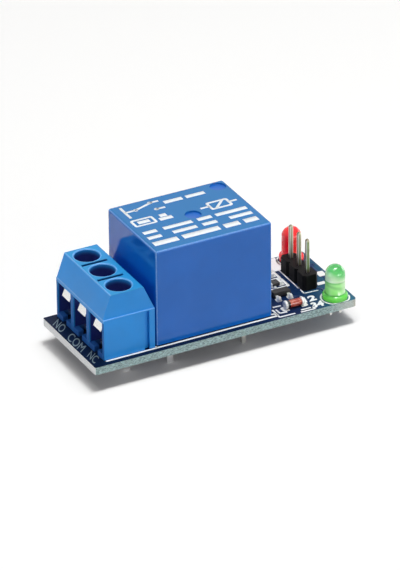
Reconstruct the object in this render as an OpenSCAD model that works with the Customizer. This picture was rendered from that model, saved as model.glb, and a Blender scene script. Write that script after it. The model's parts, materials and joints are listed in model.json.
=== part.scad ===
// One-channel relay module board.
// Millimetres. X runs along the board from the wire terminals to the control header,
// Y across it, Z up. The origin is on the surface that the lead tails stand on, under
// the middle of the board.

/* [Board] */
// Length of the board beyond the relay, for the control side
control_l = 13.6; // [12.5:0.1:30]
// Width of the circuit board
board_w = 17.1; // [16.6:0.1:30]
// Thickness of the circuit board
board_t = 1.2; // [0.8:0.1:2]
// Radius of the board's corners
board_corner_r = 0.6; // [0.2:0.1:1.5]
// How far the relay and terminal leads stand out below the board
lead_tail = 2.9; // [1.5:0.1:4]
// How far the other through-hole leads stand out below the board
short_tail = 1.5; // [0.8:0.1:1.5]
// Sideways offset of the relay and the terminal block from the board's centre line
row_y = 0.4; // [-0.3:0.1:0.4]
// Bare board in front of the terminal block
block_inset = 2.05; // [1:0.05:3]
// Gap between the terminal block and the relay
relay_gap = 0.25; // [0.1:0.05:1]

/* [Terminal block housing] */
// Distance between neighbouring wire positions
pitch = 5.08; // [5:0.01:5.12]
// Depth of the housing, front to back
block_d = 8.4; // [8.3:0.1:10]
// Height of the housing
block_h = 10.4; // [10.3:0.1:12]
// Height at which the housing's slopes begin
shoulder_h = 6.6; // [6.4:0.1:7.5]
// How far the front slope leans in
front_lean = 1.35; // [0.6:0.05:1.6]
// How far the back slope leans in
back_lean = 1.7; // [0.8:0.05:2]
// Step at each end, by which the lower part is longer than the top
end_ledge = 0.15; // [0.05:0.05:0.4]
// Screw axis behind the front face
screw_back = 3.85; // [3.7:0.05:3.9]
// Diameter of the screwdriver wells
well_d = 3.85; // [3.8:0.05:4.1]
// Bevel around the wells' mouths
well_bevel = 0.12; // [0.05:0.01:0.2]
// Width of each wire bay
bay_w = 4.2; // [4.15:0.05:4.4]
// Height of the bays' ceiling above the board
bay_h = 6; // [5.9:0.05:6.1]
// Height of the sill in front of each bay
sill_h = 0.9; // [0.5:0.1:0.95]
// Depth of that sill
sill_d = 0.85; // [0.5:0.05:0.9]
// Width of the notch through the middle of the sill
sill_notch = 1.1; // [0.6:0.1:2]
// Length of the slots across the top, between the wells
top_slot_l = 4.2; // [3:0.1:4.6]
// Width of those slots
top_slot_w = 0.35; // [0.2:0.05:0.5]
// Depth of those slots
top_slot_depth = 1.2; // [0.5:0.1:2]
// Width of the upright groove and rib that link one block to the next
link_w = 0.75; // [0.5:0.05:1]
// Depth of the link groove
link_depth = 0.5; // [0.3:0.05:0.7]
// Distance of the link groove from the back face
link_back = 0.9; // [0.6:0.05:1.2]

/* [Terminal clamps] */
// Front face of the clamp frames behind the housing's front face
clamp_set = 1.6; // [1.3:0.05:1.8]
// Back face of the clamp frames behind the housing's front face
clamp_end = 6.75; // [6.6:0.05:7]
// Clearance between a clamp frame and its bay, each side
clamp_clear = 0.1; // [0.05:0.01:0.15]
// Thickness of the threaded top of a clamp frame
clamp_top_t = 2.2; // [1.8:0.1:2.3]
// Thickness of a clamp frame's back wall
clamp_back_t = 0.7; // [0.5:0.05:0.8]
// Width of the bent tongue at the top of a clamp frame
tongue_w = 2.4; // [1.6:0.1:3.4]
// Thickness of the tongue
tongue_t = 0.35; // [0.25:0.05:0.4]
// Where the tongue bends down, behind the housing's front face
tongue_bend = 1.05; // [0.8:0.05:1.2]
// How far the tongue's tip comes forward of the bend
tongue_reach = 0.8; // [0.3:0.05:0.8]
// How far the tongue's tip hangs below the bay's ceiling
tongue_drop = 1.9; // [1:0.1:2]
// Thickness of a clamp frame's foot
clamp_foot_t = 0.6; // [0.4:0.05:0.7]
// Height of the clamp frames' feet above the board
clamp_lift = 0.35; // [0.2:0.05:0.4]
// Diameter of the clamp screws' shanks
screw_d = 2.9; // [2.8:0.05:2.9]
// Radial clearance of a screw in its clamp frame
thread_clear = 0.05; // [0.02:0.01:0.08]
// Diameter of the screw heads
head_d = 3.65; // [3.4:0.05:3.7]
// Height of the screw heads
head_h = 1.3; // [1:0.1:1.4]
// Length of the screw shanks, under the head
shank_l = 5.4; // [5.3:0.05:5.5]
// Width of the screwdriver slots
driver_slot_w = 0.8; // [0.5:0.05:1]
// Depth of the screwdriver slots
driver_slot_depth = 0.7; // [0.4:0.05:0.8]
// Thickness of the pressure plates
plate_t = 0.4; // [0.3:0.05:0.45]
// Length of the pressure plates
plate_l = 3.8; // [3.4:0.1:3.9]
// Width of the pressure plates
plate_w = 3.4; // [2.8:0.1:3.6]
// Diameter of the pilot that holds a plate on its screw
pilot_d = 1.4; // [1:0.05:1.6]
// Width of the terminal block's board pins
terminal_pin = 0.9; // [0.7:0.05:1]
// Distance of those pins behind the housing's front face
terminal_pin_back = 4.8; // [4.2:0.1:5.5]

/* [Relay case] */
// Length of the relay
relay_l = 19.1; // [17.2:0.1:22]
// Width of the relay
relay_w = 15.4; // [15.3:0.1:15.8]
// Height of the relay's top above the board
relay_h = 15.75; // [15.6:0.05:16.5]
// Gap between the relay's rim and the board
relay_standoff = 0.2; // [0.1:0.05:0.3]
// Wall thickness of the relay's cover
cover_t = 0.8; // [0.6:0.05:0.9]
// Radius of the cover's edges
cover_r = 0.4; // [0.2:0.05:0.6]
// Diameter of the two round recesses in the cover's top
recess_d = 2.45; // [1.5:0.05:3]
// Depth of those recesses
recess_depth = 0.35; // [0.1:0.05:0.5]
// Distance of the corner recess from the cover's end and side
recess_inset = 1.65; // [1.6:0.05:2.5]
// Thickness of the relay's base
base_t = 1.55; // [1.2:0.05:1.6]
// Clearance of the base in the cover, each side
base_clear = 0.05; // [0.02:0.01:0.1]

/* [Relay leads] */
// Contact pins behind the relay's terminal-side end
contact_pin_in = 2.9; // [2.8:0.1:3.1]
// Common pin's distance from the relay's other end
common_pin_out = 2; // [1.7:0.05:2.4]
// Distance from the coil pins to the common pin, along the relay
common_pin_step = 2; // [2:0.05:2.1]
// Distance of the outer pins from the relay's centre line
outer_pin_y = 6; // [5.9:0.05:6.1]
// Width of the contact and common pins
relay_pin_w = 1; // [0.8:0.05:1.1]
// Thickness of the contact and common pins
relay_pin_t = 0.4; // [0.3:0.05:0.5]
// Width of the square coil pins
coil_pin = 0.6; // [0.5:0.05:0.7]
// Clearance of the leads in the relay's base
lead_clear = 0.05; // [0.03:0.01:0.1]
// Height of the common pin's strip on the yoke
common_strip_h = 3.6; // [2:0.1:6]
// Width of that strip
common_strip_w = 3; // [2:0.1:4]

/* [Relay motor] */
// Diameter of the iron core
core_d = 4.6; // [4:0.1:4.8]
// Diameter of the core's pole face
pole_d = 6.4; // [5.5:0.1:7]
// Thickness of the pole face
pole_t = 0.75; // [0.5:0.05:0.9]
// Thickness of the yoke
yoke_t = 1; // [0.8:0.05:1]
// Width of the yoke and the armature
yoke_w = 9; // [7:0.1:9.4]
// Height of the armature's hinge line above the board
hinge_h = 11.4; // [11.3:0.05:11.6]
// Thickness of the armature
armature_t = 0.9; // [0.7:0.05:0.95]
// Running gap between the yoke's rounded end and the armature
hinge_clear = 0.03; // [0.02:0.01:0.05]
// Open gap between the armature and the pole face
pole_gap = 0.45; // [0.42:0.01:0.6]
// Clearance of the bobbin to the contact strips and the yoke
bobbin_clear = 0.3; // [0.1:0.05:0.5]
// Clearance of the bobbin to the contact strips' posts, each side
post_clear = 0.1; // [0.05:0.01:0.3]
// Thickness of the bobbin's flanges
flange_t = 0.8; // [0.6:0.05:1]
// Wall thickness of the bobbin's tube
bobbin_wall = 0.55; // [0.4:0.05:0.7]
// Step from the bobbin's flanges in to the winding
winding_step = 0.4; // [0.1:0.05:1]

/* [Relay contacts] */
// Diameter of the fixed contacts
fixed_contact_d = 2.4; // [1.8:0.1:2.6]
// Thickness of the fixed contacts
fixed_contact_t = 0.5; // [0.3:0.05:0.5]
// Diameter of the moving contact
moving_contact_d = 2.2; // [1.6:0.1:2.4]
// How far the moving contact stands out above and below its spring
moving_contact_t = 0.4; // [0.3:0.05:0.42]
// Gap between the moving contact and the normally open contact
contact_gap = 0.55; // [0.54:0.01:0.6]
// Gap left between contacts that touch
contact_clear = 0.03; // [0.02:0.01:0.05]
// Thickness of the contact spring
spring_t = 0.2; // [0.15:0.01:0.25]
// Width of the contact spring
spring_w = 5; // [3:0.1:6]
// Width of the spring's fixed leg on the yoke
hinge_spring_w = 4; // [3:0.1:6]
// Thickness of that leg
hinge_spring_t = 0.2; // [0.15:0.01:0.25]
// Thickness of the fixed contacts' strips
strip_t = 0.4; // [0.3:0.05:0.4]
// Width of the fixed contacts' strips
strip_w = 1.6; // [1.2:0.1:1.7]

/* [Pin header] */
// Distance between the header's pins
header_pitch = 2.54; // [2.5:0.01:2.6]
// Width of the header's body
header_w = 2.5; // [2.3:0.05:2.6]
// Height of the header's body
header_h = 2.54; // [2:0.02:3]
// Corner cut of each cell of the header's body
header_cut = 0.45; // [0.2:0.05:0.6]
// Width of the square pins
header_pin = 0.6; // [0.5:0.02:0.64]
// Height of the pin tips above the board
header_pin_h = 8; // [6:0.1:9]
// Pin row's distance from the board's end
header_inset = 4.65; // [4.5:0.05:5]
// Pin row's offset from the board's centre line
header_y = 0.85; // [0.4:0.05:1]

/* [Indicator lamps] */
// Diameter of the lamps
led_d = 3; // [2.8:0.1:3.1]
// Height of the lamps above the board
led_h = 5.5; // [4.5:0.1:7]
// Diameter of the lamps' flanges
led_flange_d = 3.8; // [3.4:0.1:3.8]
// Thickness of the flanges
led_flange_t = 0.9; // [0.6:0.1:1.2]
// Distance between a lamp's two leads
led_pitch = 1.6; // [1.4:0.05:1.8]
// Width of the lamps' leads
led_lead = 0.4; // [0.35:0.05:0.5]
// Lamps' distance from the board's end
led_inset = 2.65; // [2.6:0.05:2.8]
// Lamps' distance from the board's sides
led_side = 1.95; // [1.9:0.05:2.5]
// How much farther in from the end the power lamp stands
power_led_shift = 0.15; // [0:0.05:0.3]
// Height of the power lamp's flange above the board
power_led_lift = 0.2; // [0:0.05:0.4]

/* [Surface-mount parts] */
// Centre of the resistors behind the relay
resistor_set = 4.9; // [4.8:0.1:5.1]
// Length of a resistor
resistor_l = 2; // [1.6:0.1:2.2]
// Width of a resistor
resistor_w = 1.25; // [0.8:0.05:1.4]
// Thickness of a resistor
resistor_t = 0.5; // [0.4:0.05:0.7]
// Length of a resistor's metal ends
resistor_cap = 0.4; // [0.25:0.05:0.5]
// Distance between neighbouring resistors
resistor_step = 2.75; // [2.2:0.05:2.8]
// First resistor's offset from the board's centre line
resistor_y = 1.1; // [0.9:0.05:1.3]
// Transistor's centre behind the relay
transistor_set = 4.1; // [3.9:0.1:4.4]
// Transistor's offset from the board's centre line
transistor_y = -2.2; // [-2.4:0.05:-2]
// Length of the transistor's body
transistor_l = 2.9; // [2.6:0.1:3]
// Width of the transistor's body
transistor_w = 1.3; // [1.1:0.05:1.4]
// Height of the transistor's body
transistor_h = 0.95; // [0.8:0.05:1.1]
// Distance between the transistor's two front leads
transistor_pitch = 1.9; // [1.8:0.05:2]
// Diode's centre behind the relay
diode_set = 4.25; // [4.2:0.05:4.6]
// Diode's distance from the board's front edge
diode_side = 2.3; // [2.1:0.05:2.5]
// Length of the diode
diode_l = 3.3; // [3.2:0.1:3.7]
// Diameter of the diode's end caps
diode_d = 1.5; // [1.3:0.05:1.6]
// Length of the diode's end caps
diode_cap = 0.45; // [0.3:0.05:0.6]
// Step from the caps in to the glass
diode_step = 0.05; // [0.03:0.01:0.1]

/* [Solder] */
// Radius of a solder joint beyond its lead's hole
solder_rim = 0.35; // [0.2:0.05:0.4]
// Height of a solder joint below the board
solder_h = 0.9; // [0.5:0.05:1]
// Clearance of a lead in its hole
hole_clear = 0.1; // [0.08:0.01:0.15]
// Thickness of the solder under a surface-mount part
solder_film = 0.05; // [0.03:0.01:0.08]

/* [Hidden] */
$fn = 64;
eps = 0.5;
top_z = lead_tail + board_t;
side_y = board_w / 2;
poles = ["nc", "com", "no"];
pole_count = len(poles);
block_l = pole_count * pitch;
board_l = block_inset + block_d + relay_gap + relay_l + control_l;
end_x = board_l / 2;
block_x = block_inset - end_x;
relay_x = block_x + block_d + relay_gap;
relay_end_x = relay_x + relay_l;

// Terminal clamps, above the board
clamp_w = bay_w - 2 * clamp_clear;
clamp_floor = clamp_lift + clamp_foot_t;
rest_gap = 0.02;
plate_top = clamp_floor + plate_t;
pilot_clear = 0.05;
pilot_l = 0.3;

// Relay, from its terminal-side end, centre line and the board's top
base_top = relay_standoff + base_t;
common_pin_in = relay_l - common_pin_out;
coil_pin_in = common_pin_in - common_pin_step;
inner_l = relay_l - 2 * cover_t;
inner_w = relay_w - 2 * cover_t;
yoke_out = common_pin_in - relay_pin_t / 2 - hinge_spring_t;
hinge_in = yoke_out - yoke_t / 2;
armature_z = hinge_h + yoke_t / 2 + hinge_clear;
spring_z = armature_z + armature_t;
moving_top = spring_z + spring_t + moving_contact_t;
moving_low = spring_z - moving_contact_t;
nc_strip_z = moving_top + contact_clear + fixed_contact_t;
no_strip_z = moving_low - contact_gap - fixed_contact_t - strip_t;
pole_top = armature_z - pole_gap;
bobbin_z = base_top + yoke_t;
bobbin_top = pole_top - pole_t;
bobbin_from = contact_pin_in + strip_w / 2 + bobbin_clear;
bobbin_l = yoke_out - yoke_t - bobbin_clear - bobbin_from;
bobbin_w = 2 * (outer_pin_y - relay_pin_t / 2 - post_clear);
bobbin_in = bobbin_from + bobbin_l / 2;
winding_d = min(bobbin_l, bobbin_w) - 2 * winding_step;
iron_from = contact_pin_in + moving_contact_d;
core_hole_clear = 0.05;
tube_r = core_d / 2 + core_hole_clear + bobbin_wall;

// Header, lamps and surface-mount parts
header_x = end_x - header_inset;
header_l = pole_count * header_pitch;
led_x = end_x - led_inset;
led_y = side_y - led_side;

module on_board(x, y) {
    translate([x, y, top_z]) children();
}

module at_block() {
    on_board(block_x, row_y) children();
}

module at_relay() {
    on_board(relay_x, row_y) children();
}

// A profile drawn in X and Z, pushed through Y about the centre line
module across(width) {
    translate([0, width / 2, 0]) rotate([90, 0, 0]) linear_extrude(height = width) children();
}

// A profile drawn in Y and Z, pushed through X about x = 0
module along(length) {
    translate([-length / 2, 0, 0]) rotate([90, 0, 90]) linear_extrude(height = length) children();
}

module bar(w, d, from, to) {
    translate([-w / 2, -d / 2, from]) cube([w, d, to - from]);
}

// side is -1 for the status lamp in front and 1 for the power lamp at the back
function lamp_x(side) = led_x - (side > 0 ? power_led_shift : 0);
function lamp_lift(side) = side > 0 ? power_led_lift : 0;
function pole_y(i) = (i - (pole_count - 1) / 2) * pitch;
function header_pin_y(i) = header_y + (i - (pole_count - 1) / 2) * header_pitch;

// Places of the leads in the board: [x, y, width in x, width in y]
terminal_leads = [for (i = [0:pole_count - 1])
    [block_x + terminal_pin_back, row_y + pole_y(i), terminal_pin, terminal_pin]];
relay_leads = [
    for (s = [-1, 1]) [relay_x + contact_pin_in, row_y + s * outer_pin_y, relay_pin_w, relay_pin_t],
    for (s = [-1, 1]) [relay_x + coil_pin_in, row_y + s * outer_pin_y, coil_pin, coil_pin],
    [relay_x + common_pin_in, row_y, relay_pin_t, relay_pin_w]];
header_leads = [for (i = [0:pole_count - 1]) [header_x, header_pin_y(i), header_pin, header_pin]];
led_leads = [for (s = [-1, 1], e = [-1, 1])
    [lamp_x(s) + e * led_pitch / 2, s * led_y, led_lead, led_lead]];

function hole_r(lead) = norm([lead[2], lead[3]]) / 2 + hole_clear;

// ---------------------------------------------------------------- circuit board

module rounded_plate(l, w, r) {
    union() {
        square([l - 2 * r, w], center = true);
        square([l, w - 2 * r], center = true);
        for (x = [-1, 1], y = [-1, 1])
            translate([x * (l / 2 - r), y * (w / 2 - r)]) circle(r = r, $fn = 48);
    }
}

module circuit_board() {
    color([0.05, 0.11, 0.2])
    translate([0, 0, lead_tail]) difference() {
        linear_extrude(height = board_t) rounded_plate(board_l, board_w, board_corner_r);
        for (lead = concat(terminal_leads, relay_leads, header_leads, led_leads))
            translate([lead[0], lead[1], -eps]) cylinder(r = hole_r(lead), h = board_t + 2 * eps, $fn = 32);
    }
}

// ---------------------------------------------------------------- terminal block

module housing_profile_low() {
    polygon([[0, 0], [0, shoulder_h], [block_d, shoulder_h], [block_d, 0]]);
}

module housing_profile_high() {
    polygon([[0, shoulder_h], [front_lean, block_h], [block_d - back_lean, block_h], [block_d, shoulder_h]]);
}

module wire_bay() {
    bay_d = clamp_end + clamp_clear;
    translate([sill_d, -bay_w / 2, -eps]) cube([bay_d - sill_d, bay_w, bay_h + eps]);
    translate([-eps, -bay_w / 2, sill_h]) cube([sill_d + 2 * eps, bay_w, bay_h - sill_h]);
    translate([-eps, -sill_notch / 2, -eps]) cube([sill_d + 2 * eps, sill_notch, sill_h + 2 * eps]);
    translate([screw_back, 0, bay_h - eps]) cylinder(d = well_d, h = block_h - bay_h + 2 * eps);
    translate([screw_back, 0, block_h - well_bevel])
        cylinder(r1 = well_d / 2, r2 = well_d / 2 + 2 * well_bevel, h = 2 * well_bevel);
}

module terminal_housing() {
    link_x = block_d - link_back - link_w;
    link_h = shoulder_h - 0.3;
    play = 0.05;
    color([0.2, 0.53, 0.82])
    at_block() difference() {
        union() {
            across(block_l) housing_profile_low();
            across(block_l - 2 * end_ledge) housing_profile_high();
            translate([link_x + play, block_l / 2 - eps, 0])
                cube([link_w - 2 * play, eps + link_depth - play, link_h - play]);
        }
        for (i = [0:pole_count - 1]) translate([0, pole_y(i), 0]) wire_bay();
        for (i = [0:pole_count - 2])
            translate([screw_back - top_slot_l / 2, pole_y(i) + pitch / 2 - top_slot_w / 2, block_h - top_slot_depth])
                cube([top_slot_l, top_slot_w, top_slot_depth + eps]);
        translate([link_x, -block_l / 2 - eps, -eps]) cube([link_w, eps + link_depth, link_h + eps]);
    }
}

// Folded frame that carries the screw's thread, open to the front, with its board pin
module terminal_frame(i) {
    color([0.85, 0.85, 0.83])
    at_block() translate([0, pole_y(i), 0]) difference() {
        union() {
            across(clamp_w) polygon([
                [clamp_set, clamp_lift], [clamp_end, clamp_lift], [clamp_end, bay_h], [clamp_set, bay_h],
                [clamp_set, bay_h - clamp_top_t], [clamp_end - clamp_back_t, bay_h - clamp_top_t],
                [clamp_end - clamp_back_t, clamp_floor], [clamp_set, clamp_floor]]);
            across(tongue_w) polygon([
                [clamp_set + tongue_t, bay_h], [tongue_bend, bay_h], [tongue_bend - tongue_reach, bay_h - tongue_drop],
                [tongue_bend - tongue_reach + tongue_t, bay_h - tongue_drop], [tongue_bend + tongue_t, bay_h - tongue_t],
                [clamp_set + tongue_t, bay_h - tongue_t]]);
            translate([terminal_pin_back, 0, 0])
                bar(terminal_pin, terminal_pin, -top_z, clamp_lift + clamp_foot_t / 2);
        }
        translate([screw_back, 0, bay_h - clamp_top_t - eps / 2])
            cylinder(d = screw_d + 2 * thread_clear, h = clamp_top_t + eps);
    }
}

module pressure_plate(i) {
    color([0.75, 0.75, 0.77])
    at_block() translate([screw_back, pole_y(i), 0]) difference() {
        bar(plate_l, plate_w, clamp_floor + rest_gap, plate_top + rest_gap);
        translate([0, 0, clamp_floor]) cylinder(d = pilot_d + 2 * pilot_clear, h = plate_t + eps);
    }
}

module terminal_screw(i) {
    seat = plate_top + 2 * rest_gap;
    bevel = 0.25;
    color([0.8, 0.82, 0.85])
    at_block() translate([screw_back, pole_y(i), seat]) difference() {
        rotate_extrude() polygon([
            [0, -pilot_l], [pilot_d / 2, -pilot_l], [pilot_d / 2, 0], [screw_d / 2, 0],
            [screw_d / 2, shank_l], [head_d / 2, shank_l], [head_d / 2, shank_l + head_h - bevel],
            [head_d / 2 - bevel, shank_l + head_h], [0, shank_l + head_h]]);
        translate([0, 0, shank_l + head_h - driver_slot_depth / 2 + eps / 2])
            cube([head_d + 1, driver_slot_w, driver_slot_depth + eps], center = true);
    }
}

// ---------------------------------------------------------------- relay

module relay_cover() {
    color([0.17, 0.33, 0.6])
    at_relay() difference() {
        hull() for (x = [cover_r, relay_l - cover_r], y = [-1, 1]) translate([x, y * (relay_w / 2 - cover_r), 0]) {
            translate([0, 0, relay_standoff]) cylinder(r = cover_r, h = cover_r, $fn = 32);
            translate([0, 0, relay_h - cover_r]) sphere(r = cover_r, $fn = 32);
        }
        translate([cover_t, -inner_w / 2, 0]) cube([inner_l, inner_w, relay_h - cover_t]);
        translate([relay_l / 2 + 0.6, 0, relay_h - recess_depth]) cylinder(d = recess_d, h = recess_depth + eps);
        translate([relay_l - recess_inset, relay_w / 2 - recess_inset, relay_h - recess_depth])
            cylinder(d = recess_d, h = recess_depth + eps);
    }
}

module relay_base() {
    foot_d = 1.4;
    foot_in = 1.6;
    color([0.12, 0.24, 0.45])
    at_relay() difference() {
        union() {
            translate([cover_t + base_clear, -inner_w / 2 + base_clear, relay_standoff])
                cube([inner_l - 2 * base_clear, inner_w - 2 * base_clear, base_t]);
            for (x = [foot_in + foot_d, relay_l - foot_in], y = [-1, 1])
                translate([x, y * (relay_w / 2 - foot_in - foot_d), 0]) cylinder(d = foot_d, h = relay_standoff + 0.1);
        }
        for (lead = relay_leads) translate([lead[0] - relay_x, lead[1] - row_y, 0])
            bar(lead[2] + 2 * lead_clear, lead[3] + 2 * lead_clear, -eps, base_top + eps);
    }
}

module relay_bobbin() {
    ear_w = 1.2;
    ear_y = outer_pin_y - coil_pin / 2;
    centre = bobbin_in;
    color([0.85, 0.83, 0.76])
    at_relay() difference() {
        union() {
            translate([centre, 0, 0]) {
                bar(bobbin_l, bobbin_w, bobbin_z, bobbin_z + flange_t);
                bar(bobbin_l, bobbin_w, bobbin_top - flange_t, bobbin_top);
                translate([0, 0, bobbin_z]) cylinder(r = tube_r, h = bobbin_top - bobbin_z);
            }
            for (s = [-1, 1]) translate([coil_pin_in, s * (outer_pin_y - ear_w / 4), 0])
                bar(ear_w, ear_w * 1.5, bobbin_z, bobbin_z + flange_t);
        }
        translate([centre, 0, bobbin_z - eps])
            cylinder(d = core_d + 2 * core_hole_clear, h = bobbin_top - bobbin_z + 2 * eps);
        for (s = [-1, 1]) translate([coil_pin_in, s * outer_pin_y, 0])
            bar(coil_pin, coil_pin, bobbin_z - eps, bobbin_z + flange_t + eps);
    }
}

module relay_winding() {
    play = 0.05;
    color([0.72, 0.36, 0.16])
    at_relay() translate([bobbin_in, 0, bobbin_z + flange_t + play]) difference() {
        cylinder(d = winding_d, h = bobbin_top - bobbin_z - 2 * flange_t - 2 * play);
        translate([0, 0, -eps]) cylinder(r = tube_r + play, h = bobbin_top);
    }
}

module relay_core() {
    color([0.6, 0.6, 0.62])
    at_relay() translate([bobbin_in, 0, 0]) rotate_extrude() polygon([
        [0, base_top], [core_d / 2, base_top], [core_d / 2, bobbin_top], [pole_d / 2, bobbin_top],
        [pole_d / 2, pole_top], [0, pole_top]]);
}

module relay_yoke() {
    heel = iron_from;
    color([0.66, 0.66, 0.67])
    at_relay() difference() {
        union() {
            across(yoke_w) polygon([
                [heel, base_top], [yoke_out, base_top], [yoke_out, hinge_h],
                [yoke_out - yoke_t, hinge_h], [yoke_out - yoke_t, base_top + yoke_t], [heel, base_top + yoke_t]]);
            translate([hinge_in, yoke_w / 2, hinge_h]) rotate([90, 0, 0]) cylinder(d = yoke_t, h = yoke_w);
        }
        translate([bobbin_in, 0, base_top - eps])
            cylinder(d = core_d + 2 * core_hole_clear, h = yoke_t + 2 * eps);
    }
}

module relay_armature() {
    nose = iron_from;
    tail = hinge_in + yoke_t * 0.3;
    color([0.68, 0.68, 0.7])
    at_relay() translate([nose, -yoke_w / 2, armature_z]) cube([tail - nose, yoke_w, armature_t]);
}

module relay_contact_spring() {
    nose = contact_pin_in - moving_contact_d / 2 - 0.2;
    tail = hinge_in - yoke_t * 0.45;
    color([0.8, 0.55, 0.3])
    at_relay() union() {
        translate([nose, -spring_w / 2, spring_z]) cube([tail - nose, spring_w, spring_t]);
        translate([contact_pin_in, 0, moving_low])
            cylinder(d = moving_contact_d, h = moving_top - moving_low);
    }
}

// Fixed leg of the contact spring, on the yoke's back, bent over the hinge line
module relay_hinge_spring() {
    t = hinge_spring_t;
    low = base_top + yoke_t / 2;
    high = spring_z + t + 0.07;
    turn = 0.35;
    tip = hinge_in - yoke_t * 0.3;
    color([0.8, 0.55, 0.3])
    at_relay() across(hinge_spring_w) polygon([
        [yoke_out, low], [yoke_out + t, low], [yoke_out + t, high - turn], [yoke_out + t - turn, high],
        [tip, high], [tip, high - t], [yoke_out + t - turn - t / 2, high - t],
        [yoke_out, high - turn - t / 2]]);
}

module relay_common_terminal() {
    low = base_top + lead_clear;
    color([0.8, 0.6, 0.35])
    at_relay() translate([common_pin_in, 0, 0]) union() {
        bar(relay_pin_t, relay_pin_w, -top_z, low + relay_pin_t);
        bar(relay_pin_t, common_strip_w, low, low + common_strip_h);
    }
}

// Upright strip from the board pin, bent over towards the moving contact.
// side is -1 or 1, finger_z the finger's underside and contact_z the contact's underside.
module fixed_contact(side, finger_z, contact_z) {
    post = outer_pin_y + relay_pin_t / 2;
    reach = fixed_contact_d / 2;
    low = base_top + lead_clear;
    at_relay() translate([contact_pin_in, 0, 0]) mirror([0, side < 0 ? 1 : 0, 0]) union() {
        along(strip_w) polygon([
            [post, low], [post, finger_z + strip_t], [-reach, finger_z + strip_t], [-reach, finger_z],
            [post - strip_t, finger_z], [post - strip_t, low]]);
        translate([0, outer_pin_y, 0]) bar(relay_pin_w, relay_pin_t, -top_z, low + relay_pin_t);
        translate([0, 0, contact_z]) cylinder(d = fixed_contact_d, h = fixed_contact_t);
    }
}

module relay_nc_terminal() {
    color([0.8, 0.6, 0.35]) fixed_contact(-1, nc_strip_z, nc_strip_z - fixed_contact_t);
}

module relay_no_terminal() {
    color([0.8, 0.6, 0.35]) fixed_contact(1, no_strip_z, no_strip_z + strip_t);
}

module relay_coil_pins() {
    color([0.85, 0.85, 0.83])
    at_relay() for (s = [-1, 1]) translate([coil_pin_in, s * outer_pin_y, 0])
        bar(coil_pin, coil_pin, -top_z, bobbin_z + 2 * flange_t);
}

// ---------------------------------------------------------------- pin header

// One cell of the body, with its corners cut
module header_cell() {
    a = header_w / 2;
    b = header_pitch / 2;
    c = header_cut;
    polygon([[a, b - c], [a, c - b], [a - c, -b], [c - a, -b], [-a, c - b], [-a, b - c], [c - a, b], [a - c, b]]);
}

module header_body() {
    color([0.07, 0.07, 0.08])
    difference() {
        on_board(header_x, 0) linear_extrude(height = header_h)
            for (i = [0:pole_count - 1]) translate([0, header_pin_y(i)]) header_cell();
        for (i = [0:pole_count - 1]) on_board(header_x, header_pin_y(i))
            bar(header_pin, header_pin, -eps, header_h + eps);
    }
}

module header_pins() {
    tip = 0.15;
    color([0.75, 0.77, 0.7])
    for (i = [0:pole_count - 1]) on_board(header_x, header_pin_y(i)) intersection() {
        bar(header_pin, header_pin, -board_t - short_tail, header_pin_h);
        across(header_pin) polygon([
            [-header_pin / 2, -board_t - short_tail], [header_pin / 2, -board_t - short_tail],
            [header_pin / 2, header_pin_h - tip], [header_pin / 2 - tip, header_pin_h],
            [tip - header_pin / 2, header_pin_h], [-header_pin / 2, header_pin_h - tip]]);
    }
}

// ---------------------------------------------------------------- indicator lamps

led_cup_h = led_h * 0.47;
led_cup_t = led_h * 0.13;
led_post_h = led_h * 0.53;

// Lead frame: the post on one side and the reflector cup on the other
module led_leads(side) {
    lift = lamp_lift(side);
    color([0.8, 0.8, 0.8]) on_board(lamp_x(side), side * led_y) {
        translate([led_pitch / 2, 0, 0]) bar(led_lead, led_lead, -board_t - short_tail, lift + led_post_h);
        translate([-led_pitch / 2, 0, 0]) union() {
            bar(led_lead, led_lead, -board_t - short_tail, lift + led_cup_h - led_lead / 2);
            translate([led_pitch / 4, 0, lift])
                bar(led_pitch * 0.75, led_lead * 2, led_cup_h - led_cup_t, led_cup_h);
        }
    }
}

module led_lens(side) {
    r = led_d / 2;
    centre = led_h - r;
    difference() {
        on_board(lamp_x(side), side * led_y) translate([0, 0, lamp_lift(side)]) difference() {
            rotate_extrude() union() {
                square([led_flange_d / 2, led_flange_t]);
                square([r, centre]);
                intersection() {
                    translate([0, centre]) circle(r = r);
                    translate([0, centre]) square([r, r]);
                }
            }
            translate([led_flange_d / 2 - 0.25, -led_flange_d, -eps])
                cube([led_flange_d, 2 * led_flange_d, led_flange_t + eps + 0.01]);
        }
        led_leads(side);
    }
}

module status_led_lens() {
    color([0.35, 0.8, 0.35, 0.8]) led_lens(-1);
}

module power_led_lens() {
    color([0.85, 0.1, 0.1, 0.8]) led_lens(1);
}

module status_led_leads() led_leads(-1);

module power_led_leads() led_leads(1);

// ---------------------------------------------------------------- surface-mount parts

module at_resistor(i) {
    on_board(relay_end_x + resistor_set, resistor_y + i * resistor_step) children();
}

module resistor_body(i) {
    color([0.12, 0.12, 0.13])
    at_resistor(i) bar(resistor_l - 2 * resistor_cap, resistor_w, solder_film, solder_film + resistor_t);
}

module resistor_ends(i) {
    color([0.8, 0.8, 0.8])
    at_resistor(i) for (s = [-1, 1]) translate([s * (resistor_l - resistor_cap) / 2, 0, 0])
        bar(resistor_cap, resistor_w, solder_film, solder_film + resistor_t);
}

module at_transistor() {
    on_board(relay_end_x + transistor_set, transistor_y) children();
}

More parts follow.
